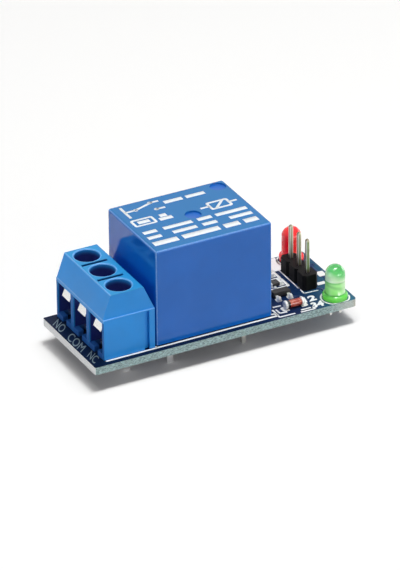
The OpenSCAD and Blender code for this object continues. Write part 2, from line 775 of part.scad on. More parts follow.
// Moulded body, drawn in at the sides above and below its parting line
module transistor_body() {
    draft = 0.08;
    mid = transistor_h * 0.5;
    low = solder_film + 0.03;
    color([0.1, 0.1, 0.11])
    at_transistor() intersection() {
        along(transistor_l) polygon([
            [draft - transistor_w / 2, low], [transistor_w / 2 - draft, low], [transistor_w / 2, mid],
            [transistor_w / 2 - draft, transistor_h], [draft - transistor_w / 2, transistor_h],
            [-transistor_w / 2, mid]]);
        across(transistor_w + 1) polygon([
            [draft - transistor_l / 2, low], [transistor_l / 2 - draft, low], [transistor_l / 2, mid],
            [transistor_l / 2 - draft, transistor_h], [draft - transistor_l / 2, transistor_h],
            [-transistor_l / 2, mid]]);
    }
}

// A bent lead, from the body's side down to the board, towards +Y
module gull_lead() {
    t = 0.12;
    knee = transistor_w / 2 + 0.2;
    toe = transistor_w / 2 + 0.55;
    mid = transistor_h * 0.5;
    along(0.42) polygon([
        [transistor_w / 2, mid + t / 2], [knee, mid + t / 2], [knee + t, solder_film + t],
        [toe, solder_film + t], [toe, solder_film], [knee + t / 3, solder_film],
        [knee - t, mid - t / 2], [transistor_w / 2, mid - t / 2]]);
}

module transistor_leads() {
    color([0.8, 0.8, 0.8])
    at_transistor() {
        gull_lead();
        for (s = [-1, 1]) translate([s * transistor_pitch / 2, 0, 0]) mirror([0, 1, 0]) gull_lead();
    }
}

module at_diode() {
    on_board(relay_end_x + diode_set, diode_side - side_y) translate([0, 0, solder_film + diode_d / 2])
        rotate([0, 90, 0]) children();
}

module diode_glass() {
    color([0.75, 0.3, 0.22, 0.8])
    at_diode() cylinder(d = diode_d - 2 * diode_step, h = diode_l - 2 * diode_cap, center = true, $fn = 48);
}

module diode_caps() {
    color([0.8, 0.8, 0.78])
    at_diode() for (s = [-1, 1]) translate([0, 0, s * (diode_l - diode_cap) / 2])
        cylinder(d = diode_d, h = diode_cap, center = true, $fn = 48);
}

// ---------------------------------------------------------------- solder

// Solder in a plated hole, with its fillet below the board
module solder_joint(lead) {
    r = hole_r(lead);
    narrow = norm([lead[2], lead[3]]) / 2 + 0.03;
    translate([lead[0], lead[1], lead_tail]) difference() {
        rotate_extrude() polygon([
            [0, -solder_h], [narrow, -solder_h], [narrow + 0.08, -solder_h * 0.55],
            [r + solder_rim * 0.4, -solder_h * 0.2], [r + solder_rim, 0], [r, 0], [r, board_t], [0, board_t]]);
        bar(lead[2], lead[3], -lead_tail, board_t + eps);
    }
}

module solder_joints(leads) {
    color([0.78, 0.79, 0.8]) for (lead = leads) solder_joint(lead);
}

module terminal_solder() solder_joints(terminal_leads);

module relay_solder() solder_joints(relay_leads);

module header_solder() solder_joints(header_leads);

module led_solder() solder_joints(led_leads);

// Solder under and around the ends of the surface-mount parts
module chip_solder() {
    lap = 0.3;
    side = 0.1;
    toe = transistor_w / 2 + 0.35;
    color([0.78, 0.79, 0.8]) {
        for (i = [0:2], s = [-1, 1]) at_resistor(i)
            translate([s * (resistor_l / 2 - resistor_cap / 2 + lap / 2), 0, 0])
                bar(resistor_cap + lap, resistor_w + side, 0, solder_film);
        at_transistor() {
            translate([0, toe, 0]) bar(0.6, 0.7, 0, solder_film);
            for (s = [-1, 1]) translate([s * transistor_pitch / 2, -toe, 0]) bar(0.6, 0.7, 0, solder_film);
        }
        on_board(relay_end_x + diode_set, diode_side - side_y) for (s = [-1, 1])
            translate([s * (diode_l - diode_cap) / 2, 0, 0]) bar(diode_cap + lap, diode_d * 0.9, 0, solder_film);
    }
}

circuit_board();
terminal_housing();
for (i = [0:pole_count - 1]) {
    terminal_frame(i);
    pressure_plate(i);
    terminal_screw(i);
}
relay_cover();
relay_base();
relay_bobbin();
relay_winding();
relay_core();
relay_yoke();
relay_armature();
relay_contact_spring();
relay_hinge_spring();
relay_common_terminal();
relay_nc_terminal();
relay_no_terminal();
relay_coil_pins();
header_body();
header_pins();
status_led_lens();
status_led_leads();
power_led_lens();
power_led_leads();
for (i = [0:2]) {
    resistor_body(i);
    resistor_ends(i);
}
transistor_body();
transistor_leads();
diode_glass();
diode_caps();
terminal_solder();
relay_solder();
header_solder();
led_solder();
chip_solder();
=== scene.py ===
"""Relay module board: finishes, printing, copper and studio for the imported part.

Every piece stands where the solid model puts it. Lengths in this file are millimetres
unless a name says otherwise; meshes are written in metres.
"""

import json
import math

import bmesh
import bpy
from mathutils import Matrix, Vector

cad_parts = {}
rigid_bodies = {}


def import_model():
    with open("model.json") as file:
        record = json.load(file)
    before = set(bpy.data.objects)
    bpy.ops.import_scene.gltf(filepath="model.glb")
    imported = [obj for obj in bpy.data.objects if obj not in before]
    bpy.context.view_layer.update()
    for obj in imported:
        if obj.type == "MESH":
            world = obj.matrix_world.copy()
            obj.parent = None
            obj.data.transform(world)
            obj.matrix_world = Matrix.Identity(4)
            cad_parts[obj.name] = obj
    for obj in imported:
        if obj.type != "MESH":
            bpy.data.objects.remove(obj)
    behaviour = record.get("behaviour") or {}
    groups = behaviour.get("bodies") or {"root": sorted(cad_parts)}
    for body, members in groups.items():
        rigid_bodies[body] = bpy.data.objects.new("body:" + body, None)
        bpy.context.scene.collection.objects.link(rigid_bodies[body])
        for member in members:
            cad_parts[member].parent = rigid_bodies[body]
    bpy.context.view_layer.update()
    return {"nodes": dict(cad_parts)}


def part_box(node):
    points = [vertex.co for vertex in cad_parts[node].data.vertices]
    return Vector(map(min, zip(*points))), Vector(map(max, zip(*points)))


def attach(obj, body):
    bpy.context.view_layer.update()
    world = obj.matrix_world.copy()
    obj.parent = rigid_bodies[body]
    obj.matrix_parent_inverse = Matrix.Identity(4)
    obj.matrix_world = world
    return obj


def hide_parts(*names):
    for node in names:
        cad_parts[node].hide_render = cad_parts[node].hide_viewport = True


bl_info = {
    "name": "Relay module board",
    "version": (1, 0, 0),
    "blender": (4, 5, 0),
    "location": "3D View > Sidebar > Relay board",
    "description": "Finishes, printing, copper and studio of a one-channel relay module board",
    "category": "Object",
}

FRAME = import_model()
NODES = FRAME["nodes"]
MM = 0.001
POLES = ("nc", "com", "no")
PITCH, PIN_PITCH = 5.08, 2.54  # between terminals, and between header pins


def span(node):
    """Lowest and highest corner of a solid, in millimetres."""
    lo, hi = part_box(node)
    return lo / MM, hi / MM


BOARD_LO, BOARD_HI = span("circuit_board")
CASE_LO, CASE_HI = span("relay_cover")
BLOCK_LO, BLOCK_HI = span("terminal_housing")
TOP, UNDER = BOARD_HI.z, BOARD_LO.z


# ---------------------------------------------------------------- settings


def paint(red, green, blue):
    """A display colour of 0 to 255 as linear values."""
    return tuple(
        c / 12.92 if c <= 0.04045 else ((c + 0.055) / 1.055) ** 2.4
        for c in (red / 255, green / 255, blue / 255)
    )


def colour_setting(name, description, default):
    return bpy.props.FloatVectorProperty(
        name=name, description=description, default=default, subtype="COLOR", size=3, min=0, max=1
    )


def length_setting(name, description, default, low=0.0, high=10.0):
    return bpy.props.FloatProperty(
        name=name, description=description, default=default * MM, min=low * MM, max=high * MM,
        unit="LENGTH", subtype="DISTANCE", precision=5,
    )


def power_setting(name, description, default):
    return bpy.props.FloatProperty(
        name=name, description=description, default=default, min=0, max=50, unit="POWER"
    )


def share_setting(name, description, default, high=1):
    return bpy.props.FloatProperty(
        name=name, description=description, default=default, min=0, max=high, subtype="FACTOR"
    )


class BoardSettings(bpy.types.PropertyGroup):
    """Colours and sizes of the circuit board's mask, printing and copper."""

    mask: colour_setting("Solder mask", "Colour of the lacquer on both faces", paint(12, 34, 70))
    laminate: colour_setting("Laminate", "Colour of the sawn glass-fibre edge", paint(160, 184, 184))
    ink: colour_setting("Ink", "Colour of the printed lines", paint(250, 251, 251))
    legend: colour_setting("Legend", "Colour of the letters at the wire end", paint(122, 142, 152))
    line_width: length_setting("Line width", "Width of the printed lines", 0.3, 0.1, 1)
    ink_height: length_setting("Ink height", "Thickness of the printing", 0.02, 0.005, 0.1)
    copper_height: length_setting("Copper height", "Height of a lacquered track", 0.035, 0.01, 0.1)


class PartSettings(bpy.types.PropertyGroup):
    """Colours and edge sizes of the parts on the board."""

    block: colour_setting("Terminal block", "Moulded plastic of the terminal block", paint(12, 144, 230))
    case: colour_setting("Relay case", "Moulded plastic of the relay's cover", paint(16, 106, 202))
    case_ink: colour_setting("Relay printing", "Ink on top of the relay", paint(240, 245, 250))
    green_lamp: colour_setting("Status lamp", "Tinted epoxy of the status lamp", paint(88, 196, 92))
    red_lamp: colour_setting("Power lamp", "Tinted epoxy of the power lamp", paint(226, 30, 38))
    case_edge: length_setting("Case edge", "Radius of the relay case's edges", 0.4, 0.1, 0.6)
    block_edge: length_setting("Block edge", "Radius of the terminal block's edges", 0.06, 0.01, 0.1)


class StudioSettings(bpy.types.PropertyGroup):
    """Strengths of the studio's light."""

    sky: share_setting("Sky", "Strength of the light from all round", 0.22, 2)
    overhead: power_setting("Overhead", "Power of the soft boxes over the board", 3.0)
    left_fill: power_setting("Left fill", "Power of the low soft box before the wire end", 1.02)
    front_fill: power_setting("Front fill", "Power of the soft box before the long side", 1.45)
    floor_glow: share_setting("Floor glow", "How much the floor is lifted towards white", 0.03)


# ---------------------------------------------------------------- nodes


class Value:
    """An output of a node, so that maths on it reads as a plain expression."""

    def __init__(self, tree, node, output=0):
        self.tree, self.node, self.output = tree, node, output

    @property
    def socket(self):
        return self.node.outputs[self.output]

    def out(self, output):
        return Value(self.tree, self.node, output)

    def maths(self, operation, other=0.0, turned=False):
        pair = (other, self) if turned else (self, other)
        return self.tree.add("ShaderNodeMath", {"operation": operation}, dict(enumerate(pair)))

    def __add__(self, other):
        return self.maths("ADD", other)

    def __sub__(self, other):
        return self.maths("SUBTRACT", other)

    def __rsub__(self, other):
        return self.maths("SUBTRACT", other, True)

    def __mul__(self, other):
        return self.maths("MULTIPLY", other)

    def __truediv__(self, other):
        return self.maths("DIVIDE", other)

    def __gt__(self, other):
        return self.maths("GREATER_THAN", other)

    def __lt__(self, other):
        return self.maths("LESS_THAN", other)

    def __abs__(self):
        return self.maths("ABSOLUTE")

    __radd__, __rmul__ = __add__, __mul__

    def root(self):
        return self.maths("SQRT")

    def folded(self, width):
        """Up and down between 0 and a width, over and over."""
        return self.maths("PINGPONG", width)

    def clamp(self):
        return self.tree.add("ShaderNodeClamp", {}, {0: self})

    def smooth(self, low, high):
        """0 below low, 1 above high and an even rise between."""
        return self.tree.add(
            "ShaderNodeMapRange", {"interpolation_type": "SMOOTHSTEP"}, {0: self, 1: low, 2: high}
        )

    def ramp(self, *stops):
        """Colours along a value: each stop is a place from 0 to 1 and a colour."""
        return self.tree.add("ShaderNodeValToRGB", {"stops": stops}, {0: self})


class Tree:
    """A node tree, and the one way that nodes are added to it."""

    def __init__(self, tree):
        self.tree = tree
        tree.nodes.clear()

    def feed(self, socket, value):
        """Sets a socket to a constant, or links a value or each of a list of values to it."""
        for one in value if isinstance(value, list) else [value]:
            if isinstance(one, Value):
                self.tree.links.new(one.socket, socket)
            elif socket.type == "RGBA":
                socket.default_value = (*one[:3], 1.0)
            else:
                socket.default_value = one

    def add(self, kind, settings=None, inputs=None):
        """Any node: its type, its settings, then the values or links of its sockets."""
        made = self.tree.nodes.new(kind)
        for key, value in (settings or {}).items():
            if key == "stops":
                points = made.color_ramp.elements
                while len(points) < len(value):
                    points.new(1.0)
                for point, (place, colour) in zip(points, value):
                    point.position, point.color = place, (*colour[:3], 1.0)
            else:
                setattr(made, key, value)
        for key, value in (inputs or {}).items():
            self.feed(made.inputs[key], value)
        return Value(self, made)


class Finish(Tree):
    """One procedural material."""

    def __init__(self, name, **fixed):
        self.material = bpy.data.materials.new(name)
        self.material.use_nodes = True
        super().__init__(self.material.node_tree)
        self.shader = self.add("ShaderNodeBsdfPrincipled")
        self.surface = self.add("ShaderNodeOutputMaterial", {}, {0: self.shader})
        self.at = self.add("ShaderNodeTexCoord").out("Object")
        self.put(**fixed)

    def put(self, **sockets):
        """Feeds the shader's own sockets; a name's underscores are spaces."""
        for key, value in sockets.items():
            self.feed(self.shader.node.inputs[key.replace("_", " ")], value)

    def noise(self, per_mm, detail=2.0, rough=0.5, at=None):
        return self.add(
            "ShaderNodeTexNoise", {},
            {"Vector": at or self.at, "Scale": per_mm / MM, "Detail": detail, "Roughness": rough},
        )

    def stripes(self, way, scale, **more):
        """Soft stripes that follow each other along an axis."""
        return self.add("ShaderNodeTexWave", {"bands_direction": way},
                        {"Vector": self.at, "Scale": scale, **more})

    def stretched(self, scale, turn=(0, 0, 0)):
        """The coordinates scaled and turned, for a pattern that isn't even."""
        return self.add("ShaderNodeMapping", {}, {"Vector": self.at, "Rotation": turn, "Scale": scale})

    def axis(self, name):
        """One Object coordinate in millimetres."""
        return self.add("ShaderNodeSeparateXYZ", {}, {0: self.at}).out(name) * (1 / MM)

    def facing(self, name):
        """How squarely the surface faces along an axis, either way."""
        normal = self.add("ShaderNodeNewGeometry").out("True Normal")
        return abs(self.add("ShaderNodeSeparateXYZ", {}, {0: normal}).out(name))

    def mix(self, amount, first, second):
        made = self.add("ShaderNodeMix", {"data_type": "RGBA"}, {"Factor": amount, 6: first, 7: second})
        return made.out(2)

    def bump(self, height, depth, strength):
        return self.add(
            "ShaderNodeBump", {}, {"Height": height, "Distance": depth * MM, "Strength": strength}
        )


def shade(colour, amount):
    """A colour made darker or lighter by a share."""
    return tuple(max(0.0, min(1.0, c * amount)) for c in colour)


# ---------------------------------------------------------------- finishes


def mask_finish(board):
    """Lacquer over a faint weave, paler towards the header; sawn glass fibre on the edges, the end faces
    near white for their torn fibre and for painted light on them.
    """
    f = Finish("board_lacquer", IOR=1.25, Specular_IOR_Level=0.3)
    x, z = f.axis("X"), f.axis("Z")
    skin = 0.004
    edge = (z < TOP - skin) * (z > UNDER + skin)
    cloud = f.noise(0.16, 3)
    weave = {"scale": 620.0, "Distortion": 0.6}
    cloth = f.stripes("X", **weave) * f.stripes("Y", **weave)
    lacquer = f.mix(cloud * 0.5 + cloth * 0.25, shade(board.mask, 0.4), shade(board.mask, 1.2))
    lacquer = f.mix(x.smooth(-2.0, 14.0) * 0.5, lacquer, shade(board.mask, 1.8))
    header_end = (x - f.axis("Y") * 0.3).smooth(14.0, 25.0)
    lacquer = f.mix(header_end * 0.9, lacquer, paint(48, 106, 136))
    layers = f.noise(2.6, 3, 0.65, f.stretched((1.0, 1.0, 3.2)))
    threads = f.add("ShaderNodeTexVoronoi", {},
                    {"Vector": f.stretched((1.0, 1.0, 2.2), (0.0, 0.5, 0.0)), "Scale": 3.4 / MM})
    pale = f.mix(layers.smooth(0.3, 0.7), shade(board.laminate, 0.5), shade(board.laminate, 1.5))
    pale = f.mix((threads < 0.22) * 0.5, pale, shade(board.laminate, 1.6))
    pale = f.mix(x.smooth(16.5, 21.0) * 0.55, pale, paint(236, 236, 226))
    pale = f.mix(x.smooth(20.9, 21.5) * 0.5, pale, paint(196, 180, 156))
    torn = ((threads < 0.3) * 0.4 + layers.smooth(0.5, 0.62) * 0.6).clamp()
    # sawn: torn fibre on the end faces, near white for the fibre and for painted light falling on the
    # ends.
    sawn = f.mix(torn, (1.0, 1.0, 1.0), paint(226, 234, 236))
    pale = f.mix((f.facing("X") > 0.7) * 0.95, pale, sawn)
    f.put(
        Base_Color=f.mix(edge, lacquer, pale),
        Roughness=0.34 + cloud * 0.12 + edge * 0.4,
        Normal=f.bump(cloth * 0.35 + cloud + edge * layers * 4, 0.006, 0.5),
    )
    return f.material


def track_finish(board):
    f = Finish("lacquered_track", Coat_Weight=0.04, Coat_Roughness=0.2, Specular_IOR_Level=0.2)
    cloud = f.noise(0.5, 3)
    f.put(
        Base_Color=f.mix(cloud, shade(board.mask, 1.3), shade(board.mask, 2.5)),
        Roughness=0.3 + cloud * 0.14,
        Normal=f.bump(f.noise(3.0, 2), 0.004, 0.5),
    )
    return f.material


def ink_finish(name, colour, worn=0.0):
    f = Finish(name)
    speck = f.noise(5.0, 3, 0.6)
    cloud = f.noise(0.8, 2)
    f.put(
        Base_Color=f.mix(
            (speck > 0.62) * worn + cloud * 0.3, shade(colour, 1.04), shade(colour, 0.72)
        ),
        Roughness=0.5 + speck * 0.2,
        Normal=f.bump(speck, 0.006, 0.5),
    )
    return f.material


def screw_distances(f):
    """Distances from the terminal screws' axes: along the board, across it from the middle one,
    and across it from the nearest one."""
    lo, hi = span("terminal_screw_com")
    across = abs(f.axis("Y") - (lo.y + hi.y) / 2)
    return f.axis("X") - (lo.x + hi.x) / 2, across, across.folded(PITCH / 2)


def painted_hollow_shade(f):
    """Painted shade on the terminal block: 1 deep inside its wire bays, screwdriver wells and slots,
    partly on the sills and the wall fronts between bays.
    """
    x, z = f.axis("X"), f.axis("Z")
    along, across, off = screw_distances(f)
    bay_half, bay_depth, bay_ceiling, sill_top = 2.13, 6.85, BLOCK_HI.z - 4.3, TOP + 0.93
    well_radius, well_floor = 1.96, BLOCK_HI.z - 4.0
    slot_side, slot_half, slot_floor, end_slot = 2.25, 2.12, BLOCK_HI.z - 1.3, 4.0
    down = BLOCK_HI.z - z
    between = (off < bay_half) * (x < BLOCK_LO.x + bay_depth)
    bay = (x - BLOCK_LO.x).smooth(0.02, 0.4) * between * (z < bay_ceiling) * (z > sill_top)
    sill = between * (z < sill_top + 0.02) * 0.72
    brow = (x < BLOCK_LO.x + 0.1) * (z < bay_ceiling) * (off > bay_half) * 0.6
    near = (along * along + off * off) < well_radius * well_radius
    well = near * down.smooth(0.05, 1.0) * (z > well_floor)
    slot = (off > slot_side) * down.smooth(0.03, 0.3) * (z > slot_floor)
    slot = slot * (abs(along) < slot_half) * (across < end_slot)
    return (bay + sill + brow + well + slot).clamp()


def edge_lines(near, width):
    """1 along the edges where two faces meet. near is a list of distances to the faces."""
    count = 0.0
    for distance in near:
        count = (abs(distance) < width) + count
    return count > 1.5


def block_edge_highlight(f):
    """Where a highlight is painted: the terminal block's outer edges and the rings round its wells."""
    points = [v.co / MM for v in NODES["terminal_housing"].data.vertices]
    crown = [v for v in points if v.z > BLOCK_HI.z - 0.01]
    front = min(v.x for v in crown)
    shoulder = max(v.z for v in points if v.x < BLOCK_LO.x + 0.01)
    half = len(POLES) * PITCH / 2
    x, y, z = f.axis("X"), f.axis("Y"), f.axis("Z")
    lean = (front - BLOCK_LO.x) / (BLOCK_HI.z - shoulder)
    slope = (x - BLOCK_LO.x - (z - shoulder) * lean) * math.cos(math.atan(lean))
    ends = half - abs(y - (BLOCK_LO.y + half))
    along, _, off = screw_distances(f)
    well_radius, ring_half = 2.03, 0.11
    ring = abs((along * along + off * off).root() - well_radius) < ring_half
    ring = ring * (z > BLOCK_HI.z - 0.2)
    return (edge_lines([z - BLOCK_HI.z, slope, ends, z - shoulder], 0.13) + ring).clamp()


def case_edge_highlight(f):
    """Where a highlight is painted: the relay case's top edges and upright corners."""
    sides = [
        (CASE_HI[i] - CASE_LO[i]) / 2 - abs(f.axis(name) - (CASE_LO[i] + CASE_HI[i]) / 2)
        for i, name in enumerate("XY")
    ]
    return edge_lines([f.axis("Z") - CASE_HI.z, *sides], 0.2)


def moulded_finish(name, colour, gloss, grain, crown=None, deep=None, shine=0.5, rims=None, mottle=1.0):
    """Injection-moulded plastic: faint flow clouds and a fine grain; where asked for, painted light on
    the top, painted shade in recesses and painted highlights along the edges.
    """
    f = Finish(name, Specular_IOR_Level=shine, Coat_Weight=0.08 * shine, Coat_Roughness=0.25)
    flow = f.noise(0.11, 4, 0.55)
    fine = f.noise(3.2, 3, 0.6)
    pores = f.noise(9.0, 2, 0.5)
    body = f.mix(flow.smooth(0.3, 0.75), shade(colour, 0.93), shade(colour, 1.07))
    body = f.mix(fine * 0.12 * mottle, body, shade(colour, 1.3))
    painted_shade = 0.0
    # crown paints light on the tops: near the top height the colour is mixed towards a lit top tone.
    if crown:
        low, high, lit_top_colour = crown
        body = f.mix(f.axis("Z").smooth(low, high) * 0.6, body, lit_top_colour)
    # deep paints shade into recesses: a dark blue where its mask is 1, also rougher there.
    if deep:
        painted_shade = deep(f)
        body = f.mix(painted_shade, body, (0.0, 0.016, 0.21))
    # rims paints a highlight along the edges, mixing towards a paler blue.
    if rims:
        body = f.mix(rims(f) * 0.7, body, f.mix(fine, shade(colour, 1.3), (0.34, 0.6, 0.88)))
    f.put(
        Base_Color=body,
        Roughness=gloss + fine * 0.1 * mottle + flow * 0.06 + painted_shade * 0.4,
        Normal=f.bump(fine * 0.6 + pores * 0.4, grain, 0.6),
    )
    return f.material


def metal_finish(name, colour, rough, brushed, stain=0.3, tinned=None, plated=1.0):
    """Plated sheet or wire: rolling lines along one axis and duller patches, tinned below a height."""
    f = Finish(name, Metallic=plated)
    lines = f.noise(2.4, 4, 0.7, f.stretched(brushed))
    patch = f.noise(0.7, 3, 0.6)
    tone = f.mix(patch.smooth(0.35, 0.75) * stain + lines * 0.2, colour, shade(colour, 0.62))
    if tinned:
        tone = f.mix(f.axis("Z") < tinned, tone, f.mix(patch, (0.76, 0.77, 0.77), (0.6, 0.61, 0.62)))
    f.put(
        Base_Color=tone,
        Roughness=rough + lines * 0.14 + patch * 0.1,
        Normal=f.bump(lines, 0.003, 0.7),
    )
    return f.material


def screw_finish():
    """Zinc screws: turned rings on the head, and painted shade that darkens the driver slot and the
    shank below, which are also rougher.
    """
    f = Finish("zinc_screw", Metallic=1.0)
    along, _, off = screw_distances(f)
    rings_per_mm = 26.0
    turning = ((along * along + off * off).root() * rings_per_mm).maths("SINE") * 0.5 + 0.5
    patch = f.noise(0.9, 3, 0.6)
    tone = f.mix(turning * 0.35 + patch * 0.3, (0.5, 0.52, 0.56), (0.3, 0.31, 0.33))
    # Painted shade: dark, and rougher, on everything more than about half a millimetre below the screw's
    # top, the slot and the shank.
    slot_shade = (span("terminal_screw_com")[1].z - f.axis("Z")).smooth(0.12, 0.5)
    f.put(
        Base_Color=f.mix(slot_shade * 0.85, tone, (0.05, 0.05, 0.055)),
        Roughness=0.3 + patch * 0.12 + slot_shade * 0.2,
        Normal=f.bump(turning, 0.01, 0.4),
    )
    return f.material


def pin_finish():
    """Plated square pins: painted highlights on the corners, flats facing along the row painted lit and
    those facing across it shaded, drawing lines along them.
    """
    f = Finish("header_pin_plate", Metallic=0.9)
    lo, hi = span("header_pins")
    half, flat_half = PIN_PITCH / 2, 0.17
    lines = f.noise(3.0, 4, 0.7, f.stretched((1.4, 1.4, 0.05)))
    x = abs(f.axis("X") - (lo.x + hi.x) / 2)
    y = half - (f.axis("Y") - (lo.y + hi.y) / 2 + half).folded(half)
    # corner: the pins' corners, which get a painted highlight.
    corner = (x > flat_half) * (y > flat_half)
    shaded_flat = f.mix(lines.smooth(0.3, 0.7), (0.2, 0.15, 0.1), (0.38, 0.31, 0.2))
    bright = f.mix(lines, (0.55, 0.5, 0.36), (0.34, 0.3, 0.19))
    # Painted light and shade: flats facing along the row take the lighter tone, flats facing across it
    # the darker one.
    flats = f.mix(f.facing("Y") > 0.6, shaded_flat, bright)
    f.put(
        Base_Color=f.mix(corner * 0.85, flats, (0.95, 0.94, 0.88)),
        Roughness=0.24 + lines * 0.14,
        Normal=f.bump(lines, 0.004, 0.5),
    )
    return f.material


def solder_finish():
    """Frosted solder, as bright as it sets."""
    f = Finish("bright_solder", Metallic=0.15)
    frost = f.noise(3.0, 4, 0.65)
    pools = f.noise(0.9, 2)
    f.put(
        Base_Color=f.mix(frost, (0.97, 0.97, 0.94), (0.8, 0.8, 0.78)),
        Roughness=0.3 + frost * 0.22,
        Normal=f.bump(pools * 2 + frost * 0.6, 0.02, 0.5),
    )
    return f.material


def lamp_finish(name, colour, height, middle, bands, clear, painted_light=0.0, coat=0.6):
    """Tinted diffusing epoxy with painted light: its tone follows the lamp's height, aslant over the
    dome, and may add a painted dark curve and a painted lit side.
    """
    # Emission_Strength makes the epoxy glow faintly in its painted tone, though the lamp is unlit: a
    # painted glow.
    f = Finish(
        name, Transmission_Weight=clear, IOR=1.5, Coat_Weight=coat, Coat_Roughness=0.03,
        Subsurface_Weight=0.6, Subsurface_Radius=(1.0, 0.7, 0.7), Subsurface_Scale=1.5 * MM,
        Emission_Strength=0.13,
    )
    turn_x, turn_y, dome_foot = 0.88, 0.47, 0.585
    # side runs across the lamp towards one fixed side; the dome's painted tone slants along it, and that
    # side is painted lit.
    side = f.axis("X") * turn_x - f.axis("Y") * turn_y - (middle[0] * turn_x - middle[1] * turn_y)
    level = (f.axis("Z") - TOP) / height
    mist = f.noise(1.1, 2)
    dome = level > dome_foot
    aslant = (level + side * 0.08).maths("MAXIMUM", dome_foot + 0.005)
    tone = (dome * aslant + (1 - dome) * level).ramp(*bands)
    # curve: a darker painted curve across the body, standing for a reflection in the epoxy.
    curve = abs(level + side * 0.055 - 0.42).smooth(0.09, 0.0)
    tone = f.mix(curve * painted_light * (level > 0.2) * (level < 0.55), tone, shade(colour, 0.8))
    # lit: the body painted paler along one side, as if light fell there.
    lit = side.smooth(0.5, 1.6) * painted_light * 1.6 * (level > 0.19) * (level < 0.6)
    tone = f.mix(lit, tone, paint(226, 250, 218))
    f.put(
        Base_Color=f.mix(mist * 0.08, tone, shade(colour, 1.2)),
        Emission_Color=tone,
        Roughness=0.1 + mist * 0.1,
        Normal=f.bump(mist, 0.004, 0.4),
    )
    return f.material


def glass_finish():
    """Red-tinted glass with a black band at one end."""
    f = Finish("tinted_glass", Transmission_Weight=0.35, IOR=1.5, Coat_Weight=0.7, Coat_Roughness=0.03)
    swirl = f.noise(1.6, 3)
    band = f.axis("X") < span("diode_glass")[0].x + 0.38
    tint = f.mix(swirl.smooth(0.35, 0.7), paint(200, 60, 40), paint(240, 128, 98))
    f.put(
        Base_Color=f.mix(band, tint, paint(24, 20, 24)),
        Roughness=0.08 + swirl * 0.08,
        Normal=f.bump(swirl, 0.01, 0.4),
    )
    return f.material


def wire_finish():
    """Enamelled wire laid in turns round the upright core."""
    f = Finish("enamelled_wire", Metallic=0.85, Coat_Weight=0.5, Coat_Roughness=0.1)
    turns = f.stripes("Z", 1600.0)
    drift = f.noise(0.5, 3)
    f.put(
        Base_Color=f.mix(turns * 0.6 + drift * 0.4, (0.32, 0.09, 0.03), (0.75, 0.3, 0.1)),
        Roughness=0.25 + drift * 0.15,
        Normal=f.bump(turns, 0.05, 0.8),
    )
    return f.material


# Status lamp colours from foot (0) to top (1): green epoxy with painted light, a pale band over the dome
# and darker lines below it.
GREEN_PAINTED_LIGHT_BANDS = (
    (0.0, paint(92, 222, 54)), (0.13, paint(104, 230, 66)), (0.175, paint(74, 184, 60)),
    (0.22, paint(146, 236, 122)), (0.5, paint(172, 246, 152)), (0.555, paint(118, 208, 112)),
    (0.588, paint(228, 255, 220)), (0.66, paint(214, 252, 205)), (0.84, paint(104, 212, 118)),
    (1.0, paint(70, 182, 92)),
)
RED_BANDS = (
    (0.0, paint(236, 24, 30)), (0.2, paint(255, 40, 44)), (0.55, paint(250, 22, 30)),
    (0.8, paint(255, 50, 52)), (1.0, paint(244, 30, 36)),
)
FINISHES = {}


def finish(name):
    """A named finish, made when it is first asked for."""
    board, parts = bpy.context.scene.board_settings, bpy.context.scene.part_settings
    # Painted light on the block's and case's tops: the heights between which each lit top tone is mixed
    # in, and the tone.
    block_top_light = (BLOCK_HI.z - 0.2, BLOCK_HI.z, paint(34, 150, 200))
    case_top_light = (CASE_HI.z - 0.3, CASE_HI.z, paint(14, 124, 174))
    makers = {
        "mask": lambda: mask_finish(board),
        "track": lambda: track_finish(board),
        "ink": lambda: ink_finish("white_ink", board.ink, 0.3),
        "legend": lambda: ink_finish("grey_ink", board.legend, 0.4),
        "case_ink": lambda: ink_finish("case_ink", parts.case_ink, 0.25),
        "block": lambda: moulded_finish(
            "block_plastic", parts.block, 0.34, 0.004, block_top_light, painted_hollow_shade, rims=block_edge_highlight),
        "case": lambda: moulded_finish(
            "case_plastic", parts.case, 0.07, 0.0004, case_top_light, rims=case_edge_highlight, mottle=0.25, shine=0.4),
        "base": lambda: moulded_finish("base_plastic", shade(parts.case, 0.7), 0.5, 0.006),
        "bobbin": lambda: moulded_finish("bobbin_nylon", (0.72, 0.69, 0.58), 0.5, 0.008),
        "header": lambda: moulded_finish("header_plastic", paint(15, 13, 14), 0.5, 0.01, shine=0.15),
        "moulding": lambda: moulded_finish("chip_moulding", paint(38, 36, 38), 0.55, 0.012),
        "glaze": lambda: moulded_finish("resistor_glaze", paint(34, 32, 36), 0.2, 0.006),
        "zinc": lambda: metal_finish(
            "zinc_plate", (1.0, 1.0, 0.99), 0.12, (1, 1, 0.25), 0.03, plated=0.9),
        "tin": lambda: metal_finish("tinned_wire", (0.74, 0.74, 0.70), 0.22, (1, 1, 0.1)),
        "iron": lambda: metal_finish("soft_iron", (0.56, 0.56, 0.57), 0.34, (0.3, 1, 1)),
        "bronze": lambda: metal_finish("spring_bronze", (0.78, 0.5, 0.26), 0.25, (0.2, 1, 1)),
        "strip": lambda: metal_finish(
            "contact_strip", (0.8, 0.62, 0.36), 0.26, (1, 1, 0.2), tinned=TOP),
        "screw": screw_finish,
        "pin": pin_finish,
        "solder": solder_finish,
        "glass": glass_finish,
        "wire": wire_finish,
        "green": lambda: lamp_finish(
            "green_epoxy", parts.green_lamp, 5.5, (19.05, -6.6), GREEN_PAINTED_LIGHT_BANDS, 0.12, 0.4),
        "red": lambda: lamp_finish(
            "red_epoxy", parts.red_lamp, 5.7, (18.9, 6.6), RED_BANDS, 0.0, coat=0.15),
    }
    if name not in FINISHES:
        FINISHES[name] = makers[name]()
    return FINISHES[name]


def dress(name, *nodes):
    """Gives carried-over solids a finish."""
    for node in nodes:
        for slot in NODES[node].material_slots:
            slot.material = finish(name)


# ---------------------------------------------------------------- meshes


